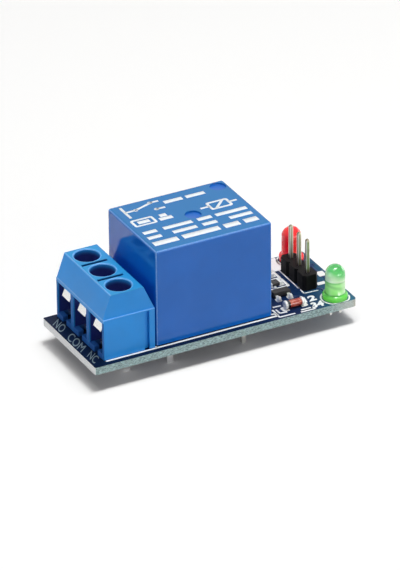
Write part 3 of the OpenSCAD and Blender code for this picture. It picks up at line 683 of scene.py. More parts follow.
def piece(name, mesh, finish_name, smooth=None, stands_for=()):
    """Makes a mesh a piece of the object with one finish, fixed to the board."""
    mesh.materials.clear()
    mesh.materials.append(finish(finish_name))
    if smooth is not None:
        mesh.shade_smooth()
        mesh.set_sharp_from_angle(angle=math.radians(smooth))
    made = bpy.data.objects.new(name, mesh)
    bpy.context.scene.collection.objects.link(made)
    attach(made, "root")
    if stands_for:
        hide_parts(*stands_for)


def mesh_of(name, form):
    """A mesh from a bmesh, which is used up."""
    mesh = bpy.data.meshes.new(name)
    form.to_mesh(mesh)
    form.free()
    return mesh


def mesh_from(name, form, outwards=True):
    """A mesh in metres from a bmesh drawn in millimetres."""
    bmesh.ops.remove_doubles(form, verts=form.verts, dist=1e-5)
    if outwards:
        bmesh.ops.recalc_face_normals(form, faces=form.faces)
    bmesh.ops.scale(form, vec=(MM, MM, MM), verts=form.verts)
    return mesh_of(name, form)


def turned(form, profile, centre, axis="Z", steps=48):
    """Adds a turned shape. The profile is (radius, height) pairs and closes on the axis."""
    turn = {"Z": lambda a, b, h: (a, b, h), "X": lambda a, b, h: (h, a, b)}[axis]
    rows = []
    for radius, height in profile:
        angles = [2 * math.pi * i / steps for i in range(steps)] if radius else [0.0]
        spots = [turn(radius * math.cos(t), radius * math.sin(t), height) for t in angles]
        rows.append([form.verts.new(Vector(spot) + Vector(centre)) for spot in spots])
    for lower, upper in zip(rows, rows[1:]):
        for i in range(steps):
            around = ((lower, i), (lower, i + 1), (upper, i + 1), (upper, i))
            corners = list(dict.fromkeys(row[k % len(row)] for row, k in around))
            if len(corners) > 2:
                form.faces.new(corners)


def arc(centre, radius, start, end, steps=36):
    """Points on an arc, with angles in degrees."""
    turns = (math.radians(start + (end - start) * i / steps) for i in range(steps + 1))
    return [(centre.x + radius * math.cos(a), centre.y + radius * math.sin(a)) for a in turns]


def rectangle(lo_x, lo_y, hi_x, hi_y):
    """A closed line round a rectangle."""
    return [(lo_x, lo_y), (hi_x, lo_y), (hi_x, hi_y), (lo_x, hi_y), (lo_x, lo_y)]


def block_form(lo, hi):
    """A closed box between two corners, in millimetres."""
    form = bmesh.new()
    bmesh.ops.create_cube(form, size=1.0)
    size = [h - l for l, h in zip(lo, hi)]
    middle = [(l + h) / 2 for l, h in zip(lo, hi)]
    bmesh.ops.scale(form, vec=size, verts=form.verts)
    bmesh.ops.translate(form, vec=middle, verts=form.verts)
    return form


def workpiece(data):
    """A temporary object for a mesh or a text, to put modifiers on."""
    temp = bpy.data.objects.new("workpiece", data)
    bpy.context.scene.collection.objects.link(temp)
    return temp


def finished_mesh(temp, name):
    """The temporary object's mesh with its modifiers worked in; the object is removed."""
    bpy.context.view_layer.update()
    graph = bpy.context.evaluated_depsgraph_get()
    mesh = bpy.data.meshes.new_from_object(temp.evaluated_get(graph))
    mesh.name = name
    old = temp.data
    bpy.data.objects.remove(temp)
    if old.users == 0:
        bpy.data.batch_remove([old])
    return mesh


def eased(mesh, width, name, angle=35.0):
    """The mesh with rounded edges that shade smoothly into their faces. The width is in metres."""
    temp = workpiece(mesh)
    edge = temp.modifiers.new("edge", "BEVEL")
    edge.width, edge.segments = width, 2
    edge.limit_method, edge.angle_limit = "ANGLE", math.radians(angle)
    temp.modifiers.new("weighted", "WEIGHTED_NORMAL")
    return finished_mesh(temp, name)


def merged_copy(node):
    """A solid's own shape with its loose triangles joined into flat faces."""
    form = bmesh.new()
    form.from_mesh(NODES[node].data)
    bmesh.ops.remove_doubles(form, verts=form.verts, dist=1e-7)
    bmesh.ops.dissolve_limit(form, angle_limit=math.radians(0.4), verts=form.verts, edges=form.edges)
    return mesh_of(node, form)


# ---------------------------------------------------------------- growing repeated shapes


class Recipe(Tree):
    """A Geometry Nodes tree with named inputs, grown into a plain mesh."""

    def __init__(self, name, **inputs):
        super().__init__(bpy.data.node_groups.new(name, "GeometryNodeTree"))
        face = self.tree.interface
        face.new_socket("Geometry", in_out="INPUT", socket_type="NodeSocketGeometry")
        for label, default in inputs.items():
            kind = "NodeSocketInt" if isinstance(default, int) else "NodeSocketFloat"
            face.new_socket(label, in_out="INPUT", socket_type=kind).default_value = default
        face.new_socket("Material", in_out="INPUT", socket_type="NodeSocketMaterial")
        face.new_socket("Geometry", in_out="OUTPUT", socket_type="NodeSocketGeometry")
        self.start = self.add("NodeGroupInput")

    def take(self, *labels):
        """Some of the tree's inputs, by the names of the sockets they feed."""
        return {label: self.start.out(label) for label in labels}

    def close(self, geometry):
        whole = self.add("GeometryNodeRealizeInstances", {}, {0: geometry})
        done = self.add("GeometryNodeSetMaterial", {}, {0: whole, **self.take("Material")})
        self.add("NodeGroupOutput", {}, {0: done})
        return self

    def grow(self, mesh, finish_name, **values):
        temp = workpiece(mesh)
        modifier = temp.modifiers.new("grow", "NODES")
        modifier.node_group = self.tree
        values["Material"] = finish(finish_name)
        for item in self.tree.interface.items_tree:
            if item.in_out == "INPUT" and item.name in values:
                modifier[item.identifier] = values[item.name]
        return finished_mesh(temp, "grown")

    def rounded(self, curve, count):
        """A curve with its corners rounded."""
        return self.add("GeometryNodeFilletCurve", {"mode": "POLY"}, {
            "Curve": curve, "Count": count, "Radius": self.start.out("Corner"), "Limit Radius": True,
        })

    def plates(self, outline):
        """Closed flat plates from a filled outline, standing on marked points."""
        face = self.add("GeometryNodeFillCurve", {"mode": "NGONS"}, {0: outline})
        lift = self.add("ShaderNodeCombineXYZ", {}, {"Z": self.start.out("Height")})
        raised = self.add("GeometryNodeExtrudeMesh", {"mode": "FACES"},
                          {"Mesh": face, "Offset": lift, "Offset Scale": 1.0, "Individual": False})
        floor = self.add("GeometryNodeFlipFaces", {}, {0: face})
        both = self.add("GeometryNodeJoinGeometry", {}, {0: [raised, floor]})
        plate = self.add("GeometryNodeMergeByDistance", {}, {0: both, "Distance": 1e-7})
        stood = self.add("GeometryNodeInstanceOnPoints", {},
                         {"Points": self.start.out("Geometry"), "Instance": plate})
        return self.close(stood)


def line_recipe():
    """Flat strips of one width that follow drawn lines and round their corners."""
    r = Recipe("printed_lines", Width=0.0003, Height=0.00002, Corner=0.00015)
    path = r.add("GeometryNodeMeshToCurve", {}, {0: r.start.out("Geometry")})
    path = r.add("GeometryNodeSetCurveNormal", {"mode": "Z_UP"}, {0: r.rounded(path, 4)})
    section = r.add("GeometryNodeCurvePrimitiveQuadrilateral", {}, r.take("Width", "Height"))
    strip = r.add("GeometryNodeCurveToMesh", {},
                  {"Curve": path, "Profile Curve": section, "Fill Caps": True})
    return r.close(strip)


def pad_recipe():
    """Flat pads with rounded corners at marked points."""
    r = Recipe("pads", Long=0.001, Wide=0.001, Corner=0.0001, Height=0.00003)
    outline = r.add("GeometryNodeCurvePrimitiveQuadrilateral", {},
                    {"Width": r.start.out("Long"), "Height": r.start.out("Wide")})
    return r.plates(r.rounded(outline, 5))


def ring_recipe():
    """Flat rings at marked points."""
    r = Recipe("rings", Outer=0.0008, Hole=0.0004, Height=0.00003, Sides=32)
    rims = [
        r.add("GeometryNodeCurvePrimitiveCircle", {},
              {"Resolution": r.start.out("Sides"), "Radius": r.start.out(size)})
        for size in ("Outer", "Hole")
    ]
    return r.plates(r.add("GeometryNodeJoinGeometry", {}, {0: rims}))


RECIPES = {}


def recipe(maker):
    """A recipe, made when it is first asked for."""
    if maker not in RECIPES:
        RECIPES[maker] = maker()
    return RECIPES[maker]


def lines_mesh(lines, z):
    """Drawn lines as loose edges. A line is a list of (x, y); a closed one ends where it starts."""
    mesh = bpy.data.meshes.new("lines")
    points, edges = [], []
    for line in lines:
        closed = line[0] == line[-1]
        first = len(points)
        own = line[:-1] if closed else line
        points += [(x * MM, y * MM, z * MM) for x, y in own]
        edges += [(first + i, first + i + 1) for i in range(len(own) - 1)]
        if closed:
            edges.append((first + len(own) - 1, first))
    mesh.from_pydata(points, edges, [])
    return mesh


def points_mesh(points, z):
    """Marked points at one height."""
    mesh = bpy.data.meshes.new("points")
    mesh.from_pydata([(x * MM, y * MM, z * MM) for x, y in points], [], [])
    return mesh


def strips(lines, z, width, height, finish_name, corner=0.15):
    """Strips whose underside is at z. Sizes are in millimetres, here and in pads and rings."""
    return recipe(line_recipe).grow(
        lines_mesh(lines, z + height / 2), finish_name,
        Width=width * MM, Height=height * MM, Corner=corner * MM,
    )


def pads(points, z, long, wide, height, finish_name, corner=0.1):
    return recipe(pad_recipe).grow(
        points_mesh(points, z), finish_name,
        Long=long * MM, Wide=wide * MM, Corner=corner * MM, Height=height * MM,
    )


def rings(points, z, outer, hole, height, finish_name, sides=32):
    return recipe(ring_recipe).grow(
        points_mesh(points, z), finish_name,
        Outer=outer * MM, Hole=hole * MM, Height=height * MM, Sides=sides,
    )


def joined(name, meshes, weld=0.0):
    """Several meshes as one; points closer than weld, in metres, become one."""
    form = bmesh.new()
    for mesh in meshes:
        form.from_mesh(mesh)
        bpy.data.meshes.remove(mesh)
    if weld:
        bmesh.ops.remove_doubles(form, verts=form.verts, dist=weld)
    return mesh_of(name, form)


def letters(name, words, z, height, weight=0.0):
    """Raised letters: (text, x, y, cap height, turn, slant, width), from the baseline's left end."""
    meshes = []
    for text, x, y, size, turn, slant, width in words:
        curve = bpy.data.curves.new("letters", "FONT")
        curve.body, curve.size, curve.offset = text, 1.0, weight
        curve.extrude, curve.resolution_u = 0.5, 4
        mesh = finished_mesh(workpiece(curve), "letters")
        across = [v.co.x for v in mesh.vertices]
        left, long = min(across), max(across) - min(across)
        tall = max(v.co.y for v in mesh.vertices)
        lean = Matrix.Identity(4)
        lean[0][1] = slant
        mesh.transform(
            Matrix.Translation((x * MM, y * MM, (z + height / 2) * MM))
            @ Matrix.Rotation(math.radians(turn), 4, "Z")
            @ lean
            @ Matrix.Diagonal((width * MM / long, size * MM / tall, height * MM, 1))
            @ Matrix.Translation((-left, 0, 0))
        )
        meshes.append(mesh)
    return joined(name, meshes, 1e-7)


# ---------------------------------------------------------------- places


def centre_of(node):
    """The middle of a solid's box, in millimetres."""
    lo, hi = span(node)
    return (lo + hi) / 2


def pin_places():
    """The header pins' axes as (x, y)."""
    lo, hi = span("header_pins")
    half = 0.3
    step = (hi.y - lo.y - 2 * half) / 2
    return [((lo.x + hi.x) / 2, lo.y + half + step * i) for i in range(3)]


def lead_places():
    """Through-hole leads as (x, y, pad radius): terminals, contacts, common, coil, header, lamps."""
    base = centre_of("relay_base")
    contact, common, coil = (
        centre_of(node).x for node in ("relay_no_terminal", "relay_common_terminal", "relay_coil_pins")
    )
    out = []
    for pole in POLES:
        lo, hi = span(f"terminal_screw_{pole}")
        out.append((centre_of("terminal_solder").x, (lo.y + hi.y) / 2, 1.35))
    out += [(contact, base.y - 6, 1.3), (contact, base.y + 6, 1.3), (common, base.y, 1.3)]
    out += [(coil, base.y - 6, 1.1), (coil, base.y + 6, 1.1)]
    out += [(x, y, 0.85) for x, y in pin_places()]
    for lamp in ("status_led_leads", "power_led_leads"):
        lo, hi = span(lamp)
        out += [(x, (lo.y + hi.y) / 2, 0.72) for x in (lo.x + 0.2, hi.x - 0.2)]
    return out


# ---------------------------------------------------------------- steps


def printed(name, meshes, finish_name):
    piece(name, joined(name, meshes), finish_name)


class BoardStep:
    bl_options = {"REGISTER", "UNDO"}


class RELAYBOARD_OT_board(BoardStep, bpy.types.Operator):
    """Lacquer and sawn edges of the circuit board, its corners sharpened at the wire end"""

    bl_idname = "relay_board.board"
    bl_label = "Board"

    def execute(self, context):
        mesh = merged_copy("circuit_board")
        drawn, wanted = 0.6, 0.22
        for vert in mesh.vertices:
            x, y = vert.co.x / MM, vert.co.y / MM
            side = math.copysign(1, y)
            away = Vector((x + BOARD_HI.x - drawn, y - side * (BOARD_HI.y - drawn)))
            if away.x < 1e-3 and away.y * side > -1e-3 and abs(away.length - drawn) < 0.02:
                away.normalize()
                vert.co.x = (wanted - BOARD_HI.x + away.x * wanted) * MM
                vert.co.y = (side * (BOARD_HI.y - wanted) + away.y * wanted) * MM
        piece("board_panel", mesh, "mask", stands_for=("circuit_board",))
        return {"FINISHED"}


class RELAYBOARD_OT_copper(BoardStep, bpy.types.Operator):
    """Lacquered tracks, bare pads, vias and pad rings on both faces"""

    bl_idname = "relay_board.copper"
    bl_label = "Copper"

    def execute(self, context):
        high = context.scene.board_settings.copper_height / MM
        places = lead_places()
        first, second, third = (centre_of(f"resistor_{i}_body") for i in (1, 2, 3))
        tr, di = centre_of("transistor_body"), centre_of("diode_glass")
        coil_front, coil_back = places[6][:2], places[7][:2]
        pins = pin_places()
        top = [
            [(10.9, di.y), (9.3, di.y + 0.1), coil_front],
            [(13.9, di.y), (14.9, di.y + 0.9), (14.9, -3.6), (13.2, -3.3)],
            [(12.3, -1.0), (12.3, 0.2), (first.x - 0.8, first.y)],
            [(first.x + 0.8, first.y), (15.0, first.y), pins[1]],
            [(second.x + 0.8, second.y), (15.2, second.y), pins[2]],
            [(third.x + 0.8, third.y), (17.9, third.y)],
            [(19.7, 6.6), (20.6, 5.4), (20.6, -5.4), (19.9, -6.6)],
            [pins[0], (18.6, -3.4), (18.3, -6.2)],
        ]
        under = [
            [(-14.85, -4.68), (-11.2, -5.6), (-8.1, -5.6)],
            [(-14.85, 0.4), (6.1, 0.4)],
            [(-14.85, 5.48), (-11.2, 6.4), (-8.1, 6.4)],
        ]
        fine_under = [
            [coil_front, (12.0, -5.4), (14.4, -3.0), (17.05, -1.69)],
            [coil_back, (14.6, 6.4), (17.05, 3.39)],
            [(17.05, 0.85), (20.2, 0.85), (20.8, 2.4), (19.7, 6.6)],
            [(18.25, -6.6), (16.4, -6.9), (9.8, -7.4)],
        ]
        printed("board_tracks", [
            strips(top, TOP, 0.36, high * 0.5, "track", 0.4),
            strips(under, UNDER - high, 2.4, high, "track", 1.0),
            strips(fine_under, UNDER - high, 0.7, high, "track", 0.5),
        ], "track")

        lands = []
        for x, y, radius in places:
            hole = radius - 0.42
            lands.append(rings([(x, y)], UNDER - 0.05, radius, hole, 0.05, "solder"))
            under_relay = -10 <= x <= 9
            if not under_relay:
                lands.append(rings([(x, y)], TOP, radius - 0.1, hole, 0.03, "solder"))
        chip_ends = [(r.x + end * 0.95, r.y) for r in (first, second, third) for end in (-1, 1)]
        legs = [(tr.x, -0.95), (tr.x - 0.95, -3.45), (tr.x + 0.95, -3.45)]
        tube_ends = [(di.x - 1.6, di.y), (di.x + 1.6, di.y)]
        for points, long, wide, corner in (
            (chip_ends, 1.0, 1.4, 0.1), (legs, 0.8, 0.95, 0.1), (tube_ends, 1.0, 1.15, 0.2),
        ):
            lands.append(pads(points, TOP, long, wide, 0.045, "solder", corner))
        printed("board_pads", lands, "solder")

        vias = [(9.6, 2.6), (9.5, 5.6), (15.3, -1.9), (20.9, 3.8), (10.3, -2.6), (20.6, -3.9)]
        rim = high + 0.01
        printed("board_vias", [
            rings(vias, z, 0.42, 0.17, rim, "track", 20) for z in (TOP, UNDER - high - 0.01)
        ], "track")
        return {"FINISHED"}


class RELAYBOARD_OT_printing(BoardStep, bpy.types.Operator):
    """White printing on the board's top: part outlines, marks and the wire legend"""

    bl_idname = "relay_board.printing"
    bl_label = "Board printing"

    def execute(self, context):
        settings = context.scene.board_settings
        ink, wide = settings.ink_height / MM, settings.line_width / MM
        front, back, rim = -7.48, 8.25, BOARD_HI.y - 0.22
        relay_lines = [
            [(-19.4, front), (8.85, front), (8.85, -6.75), (8.2, -6.75)],
            [(-11.15, front), (-11.15, front + 0.5)],
            [(-19.4, back), (8.4, back)],
        ]
        header_line = [(15.75, 4.6), (15.62, -3.35), (17.9, -3.5)]
        chips = [centre_of(f"resistor_{i}_body") for i in (1, 2, 3)]
        boxes = [rectangle(c.x - 1.75, c.y - 1.22, c.x + 1.75, c.y + 1.22) for c in chips]
        marks = [
            [(9.47, -4.93), (10.75, -5.02)],
            [(9.04, -5.6), (8.95, -8.0), (11.55, -8.05)],
            [(9.55, -5.7), (9.55, -6.95), (10.7, -7.1)],
            [(12.45, -8.15), (14.9, -8.2)],
            [(12.8, -7.6), (14.4, -7.6)],
        ]
        lamp_rings = [
            [(x, max(-rim, min(rim, y))) for x, y in ring]
            for ring in (
                arc(centre_of("status_led_leads"), 2.12, 60, 352),
                arc(centre_of("power_led_leads"), 2.2, 35, 330),
            )
        ]
        drawn = [
            strips(lines, TOP, wide * share, ink, "ink", corner)
            for lines, share, corner in (
                (relay_lines, 1.2, 0.05), ([header_line], 0.7, 0.05), (boxes, 1.4, 0.15),
                (marks, 1.0, 0.12), (lamp_rings, 0.8, 0.0),
            )
        ]
        drawn.append(pads([(15.95, 6.55)], TOP, 2.2, 3.8, ink, "ink", 0.12))
        drawn.append(pads([(20.75, 0.78)], TOP, 1.2, 1.5, ink, "ink", 0.15))
        printed("board_printing", drawn, "ink")
        numbers = [
            ("1", 18.75, -1.4, 1.3, -90, 0, 0.8), ("3", 18.75, 4.2, 1.3, -90, 0, 1.2),
            ("12", 14.3, -5.9, 1.5, 0, 0.2, 2.1), ("34", 14.6, -7.9, 1.5, 0, 0.2, 2.0),
        ]
        piece("board_numbers", letters("board_numbers", numbers, TOP, ink, 0.045), "ink")
        legend = [
            ("NO", -21.42, 5.95, 1.6, -90, -0.8, 2.8),
            ("COM", -21.48, 1.3, 1.6, -90, -0.82, 4.7),
            ("NC", -21.25, -4.85, 1.5, -90, -0.85, 2.45),
        ]
        piece("wire_legend", letters("wire_legend", legend, TOP, ink), "legend")
        return {"FINISHED"}


class RELAYBOARD_OT_terminal_block(BoardStep, bpy.types.Operator):
    """Terminal block housing with eased edges, its slots widened a little at the crown"""

    bl_idname = "relay_board.terminal_block"
    bl_label = "Terminal block"

    def execute(self, context):
        copy = merged_copy("terminal_housing")
        copy.shade_smooth()
        lo, hi = span("terminal_screw_com")
        slot_depth, slot_half, widening = 1.4, 2.2, 0.1
        for vert in copy.vertices:
            x, y, z = vert.co / MM
            if z < BLOCK_HI.z - slot_depth or abs(x - (lo.x + hi.x) / 2) > slot_half:
                continue
            for side in (-1, 1):
                off = y - (lo.y + hi.y) / 2 - side * PITCH / 2
                if abs(off) < 0.2:
                    vert.co.y += math.copysign(widening * MM, off)
        mesh = eased(copy, context.scene.part_settings.block_edge, "terminal_block")
        piece("terminal_block", mesh, "block", stands_for=("terminal_housing",))
        return {"FINISHED"}


class RELAYBOARD_OT_terminal_clamps(BoardStep, bpy.types.Operator):
    """Clamp frames, pressure plates and screws"""

    bl_idname = "relay_board.terminal_clamps"
    bl_label = "Terminal clamps"

    def execute(self, context):
        for pole in POLES:
            dress("zinc", f"terminal_frame_{pole}", f"pressure_plate_{pole}")
            dress("screw", f"terminal_screw_{pole}")
        return {"FINISHED"}


class RELAYBOARD_OT_relay_case(BoardStep, bpy.types.Operator):
    """Relay cover: a thin box with rounded edges, open below, with two moulding recesses"""

    bl_idname = "relay_board.relay_case"
    bl_label = "Relay case"

    def execute(self, context):
        radius = context.scene.part_settings.case_edge / MM
        lo, hi = CASE_LO, CASE_HI
        wall, recess, depth, corner_gap = 0.8, 1.225, 0.35, 1.65
        outer = block_form(lo, hi)
        kept = [e for e in outer.edges if max(v.co.z for v in e.verts) > lo.z + 0.1]
        bmesh.ops.bevel(outer, geom=kept, offset=radius, segments=5, profile=0.5, affect="EDGES")
        hollow_lo = (lo.x + wall, lo.y + wall, lo.z - 1)
        tools = [block_form(hollow_lo, [c - wall for c in hi])]
        for x, y in ((-0.85, (lo.y + hi.y) / 2), (hi.x - corner_gap, hi.y - corner_gap)):
            form = bmesh.new()
            profile = [(0, -depth), (recess, -depth), (recess, 1), (0, 1)]
            turned(form, profile, (x, y, hi.z), steps=64)
            tools.append(form)
        tools = [workpiece(mesh_from("tool", form)) for form in tools]
        body = workpiece(mesh_from("case", outer))
        for tool in tools:
            cut = body.modifiers.new("cut", "BOOLEAN")
            cut.operation, cut.solver, cut.object = "DIFFERENCE", "EXACT", tool
        mesh = finished_mesh(body, "case")
        for tool in tools:
            bpy.data.objects.remove(tool)
        mesh.shade_smooth()
        mesh = eased(mesh, 0.05 * MM, "relay_case", 50.0)
        piece("relay_case", mesh, "case", stands_for=("relay_cover",))
        return {"FINISHED"}


class RELAYBOARD_OT_relay_printing(BoardStep, bpy.types.Operator):
    """Generic printing on top of the relay: a changeover diagram and plain bars"""

    bl_idname = "relay_board.relay_printing"
    bl_label = "Relay printing"

    def execute(self, context):
        top, ink = CASE_HI.z, context.scene.board_settings.ink_height / MM
        contacts = [
            [(-9.4, 5.5), (-7.9, 5.5)],
            [(-3.4, 6.6), (-4.9, 6.6)],
            [(-3.4, 4.4), (-4.9, 4.4)],
            [(-7.6, 5.55), (-5.0, 6.45)],
            [(-9.4, 3.6), (-9.4, 7.2)],
        ]
        coil = [
            [(-9.9, 0.9), (-9.9, 2.7), (-6.6, 2.7), (-6.6, 0.9), (-9.9, 0.9)],
            [(2.4, 0.4), (2.4, 2.4), (5.6, 2.4), (5.6, 0.4), (2.4, 0.4)],
            [(0.9, 1.4), (2.4, 1.4)],
            [(5.6, 1.4), (6.9, 1.4)],
            [(3.1, 0.5), (4.9, 2.3)],
        ]
        bars = {
            5.7: [(-2.9, 0.1), (0.7, 3.8)],
            1.8: [(-9.2, -7.3)],
            1.3: [(-5.9, -3.8)],
            2.3: [(-5.4, -4.3)],
            -1.45: [(-10.0, -7.8), (-6.7, -2.0), (-1.1, 1.2), (1.9, 7.0)],
            -3.15: [(-10.1, -7.9), (-6.0, -2.1), (-1.1, 1.2), (3.3, 7.0)],
        }
        wide_bars = {-5.1: [(-10.2, -6.2), (-5.4, 0.6), (1.4, 3.9), (4.7, 6.9)]}
        bars, wide_bars = (
            [[(a, y), (b, y)] for y, row in rows.items() for a, b in row] for rows in (bars, wide_bars)
        )
        made = [
            strips(lines, top, width, ink, "case_ink", corner)
            for lines, width, corner in (
                (contacts, 0.42, 0.0), (coil, 0.4, 0.2), (bars, 0.85, 0.0), (wide_bars, 1.2, 0.0),
            )
        ]
        made.append(rings([(-7.7, 5.5), (-4.8, 6.6), (-4.8, 4.4)], top, 0.36, 0.12, ink, "case_ink"))
        printed("relay_printing", made, "case_ink")
        return {"FINISHED"}


class RELAYBOARD_OT_relay_works(BoardStep, bpy.types.Operator):
    """Base, coil, iron, springs and contacts inside the relay"""

    bl_idname = "relay_board.relay_works"
    bl_label = "Relay works"

    def execute(self, context):
        dress("base", "relay_base")
        dress("bobbin", "relay_bobbin")
        dress("wire", "relay_winding")
        dress("iron", "relay_core", "relay_yoke", "relay_armature")
        dress("bronze", "relay_contact_spring", "relay_hinge_spring")
        dress("strip", "relay_common_terminal", "relay_nc_terminal", "relay_no_terminal")
        dress("tin", "relay_coil_pins")
        return {"FINISHED"}


class RELAYBOARD_OT_header(BoardStep, bpy.types.Operator):
    """Control header: moulded body and square pins"""

    bl_idname = "relay_board.header"
    bl_label = "Control header"

    def execute(self, context):
        copy = merged_copy("header_body")
        copy.shade_smooth()
        mesh = eased(copy, 0.06 * MM, "header_block")
        piece("header_block", mesh, "header", stands_for=("header_body",))
        lo, hi = span("header_pins")
        half, tip, end = 0.27, 0.28, 0.15
        levels = [(lo.z, end), (lo.z + tip, half), (hi.z - tip, half), (hi.z, end)]
        corners = ((-1, -1), (1, -1), (1, 1), (-1, 1))
        form = bmesh.new()
        for x, y in pin_places():
            rows = [
                [form.verts.new((x + sx * r, y + sy * r, h)) for sx, sy in corners] for h, r in levels
            ]
            form.faces.new(rows[0][::-1])
            form.faces.new(rows[-1])
            for low, high in zip(rows, rows[1:]):
                for k in range(4):
                    form.faces.new((low[k], low[k - 3], high[k - 3], high[k]))
        mesh = eased(mesh_from("pins", form), 0.05 * MM, "header_pin_set", 20.0)
        piece("header_pin_set", mesh, "pin", stands_for=("header_pins",))
        return {"FINISHED"}


class RELAYBOARD_OT_lamps(BoardStep, bpy.types.Operator):
    """Two round indicator lamps, each with its flange flattened on one side, and their leads"""

    bl_idname = "relay_board.lamps"
    bl_label = "Indicator lamps"

    def execute(self, context):
        flange, radius, steps = 1.9, 1.5, 12
        foot = [
            (0, 0), (1.75, 0), (1.87, 0.06), (flange, 0.16), (flange, 0.72),
            (1.86, 0.82), (1.76, 0.9), (1.58, 0.92), (radius, 1.02),
        ]
        quarter = [math.radians(90 * i / steps) for i in range(steps)]
        for name, led, colour in (
            ("status_lamp", "status_led", "green"), ("power_lamp", "power_led", "red"),
        ):
            lo, hi = span(f"{led}_lens")
            profile = [(r, lo.z + h) for r, h in foot]
            profile += [(radius * math.cos(a), hi.z - radius + radius * math.sin(a)) for a in quarter]
            profile.append((0, hi.z))
            form = bmesh.new()
            turned(form, profile, (lo.x + flange, (lo.y + hi.y) / 2, 0), steps=64)
            for vert in form.verts:
                vert.co.x = min(vert.co.x, hi.x)
            piece(name, mesh_from(name, form), colour, 40, (f"{led}_lens",))
            dress("tin", f"{led}_leads")
        return {"FINISHED"}


class RELAYBOARD_OT_chips(BoardStep, bpy.types.Operator):
    """Resistors, transistor, diode and their solder"""

    bl_idname = "relay_board.chips"
    bl_label = "Chips and solder"

    def execute(self, context):
        for i in (1, 2, 3):
            dress("glaze", f"resistor_{i}_body")
            dress("solder", f"resistor_{i}_ends")
        dress("moulding", "transistor_body")
        dress("solder", "transistor_leads", "terminal_solder", "relay_solder", "header_solder",
              "led_solder", "chip_solder")

        form = bmesh.new()
        foot = TOP + 0.05

        def bead(x, y, profile, steps=24):
            turned(form, [(0, 0), *profile], (x, y, foot), steps=steps)

        tr = centre_of("transistor_body")
        for x, y, r in ((tr.x, -0.7, 0.34), (tr.x - 0.95, -3.7, 0.36), (tr.x + 0.95, -3.7, 0.36)):
            bead(x, y, [(r, 0), (r * 0.95, 0.2), (r * 0.8, 0.5), (r * 0.45, 0.72), (0, 0.78)])
        for i in (1, 2, 3):
            chip = centre_of(f"resistor_{i}_body")
            for end in (-1, 1):
                bead(chip.x + end * 1.08, chip.y, [(0.3, 0), (0.26, 0.12), (0.17, 0.3), (0, 0.38)])
                bead(chip.x + end * 1.06, chip.y - 0.36,
                     [(0.26, 0), (0.2, 0.12), (0.12, 0.26), (0, 0.34)], 20)
        piece("solder_beads", mesh_from("solder_beads", form), "solder", 50)

        lo, hi = span("diode_caps")
        glass_lo, glass_hi = span("diode_glass")
        cap, tube, lap = 0.65, 0.57, 0.12
        axis = (0, (lo.y + hi.y) / 2, lo.z + cap)
        form = bmesh.new()
        for a, b in ((lo.x, glass_lo.x), (glass_hi.x - lap, hi.x - 0.2)):
            turned(form, [
                (0, a), (cap - 0.14, a), (cap - 0.04, a + 0.04), (cap, a + 0.13),
                (cap, b - 0.13), (cap - 0.04, b - 0.04), (cap - 0.12, b), (0, b),
            ], axis, "X")
        caps = mesh_from("diode_end_caps", form)
        piece("diode_end_caps", caps, "solder", 40, ("diode_caps",))
        form = bmesh.new()
        a, b = glass_lo.x + 0.005, glass_hi.x - lap - 0.005
        turned(form, [
            (0, a), (tube - 0.1, a), (tube, a + 0.115), (tube, b - 0.115), (tube - 0.1, b), (0, b),
        ], axis, "X")
        piece("diode_tube", mesh_from("diode_tube", form), "glass", 40, ("diode_glass",))
        return {"FINISHED"}


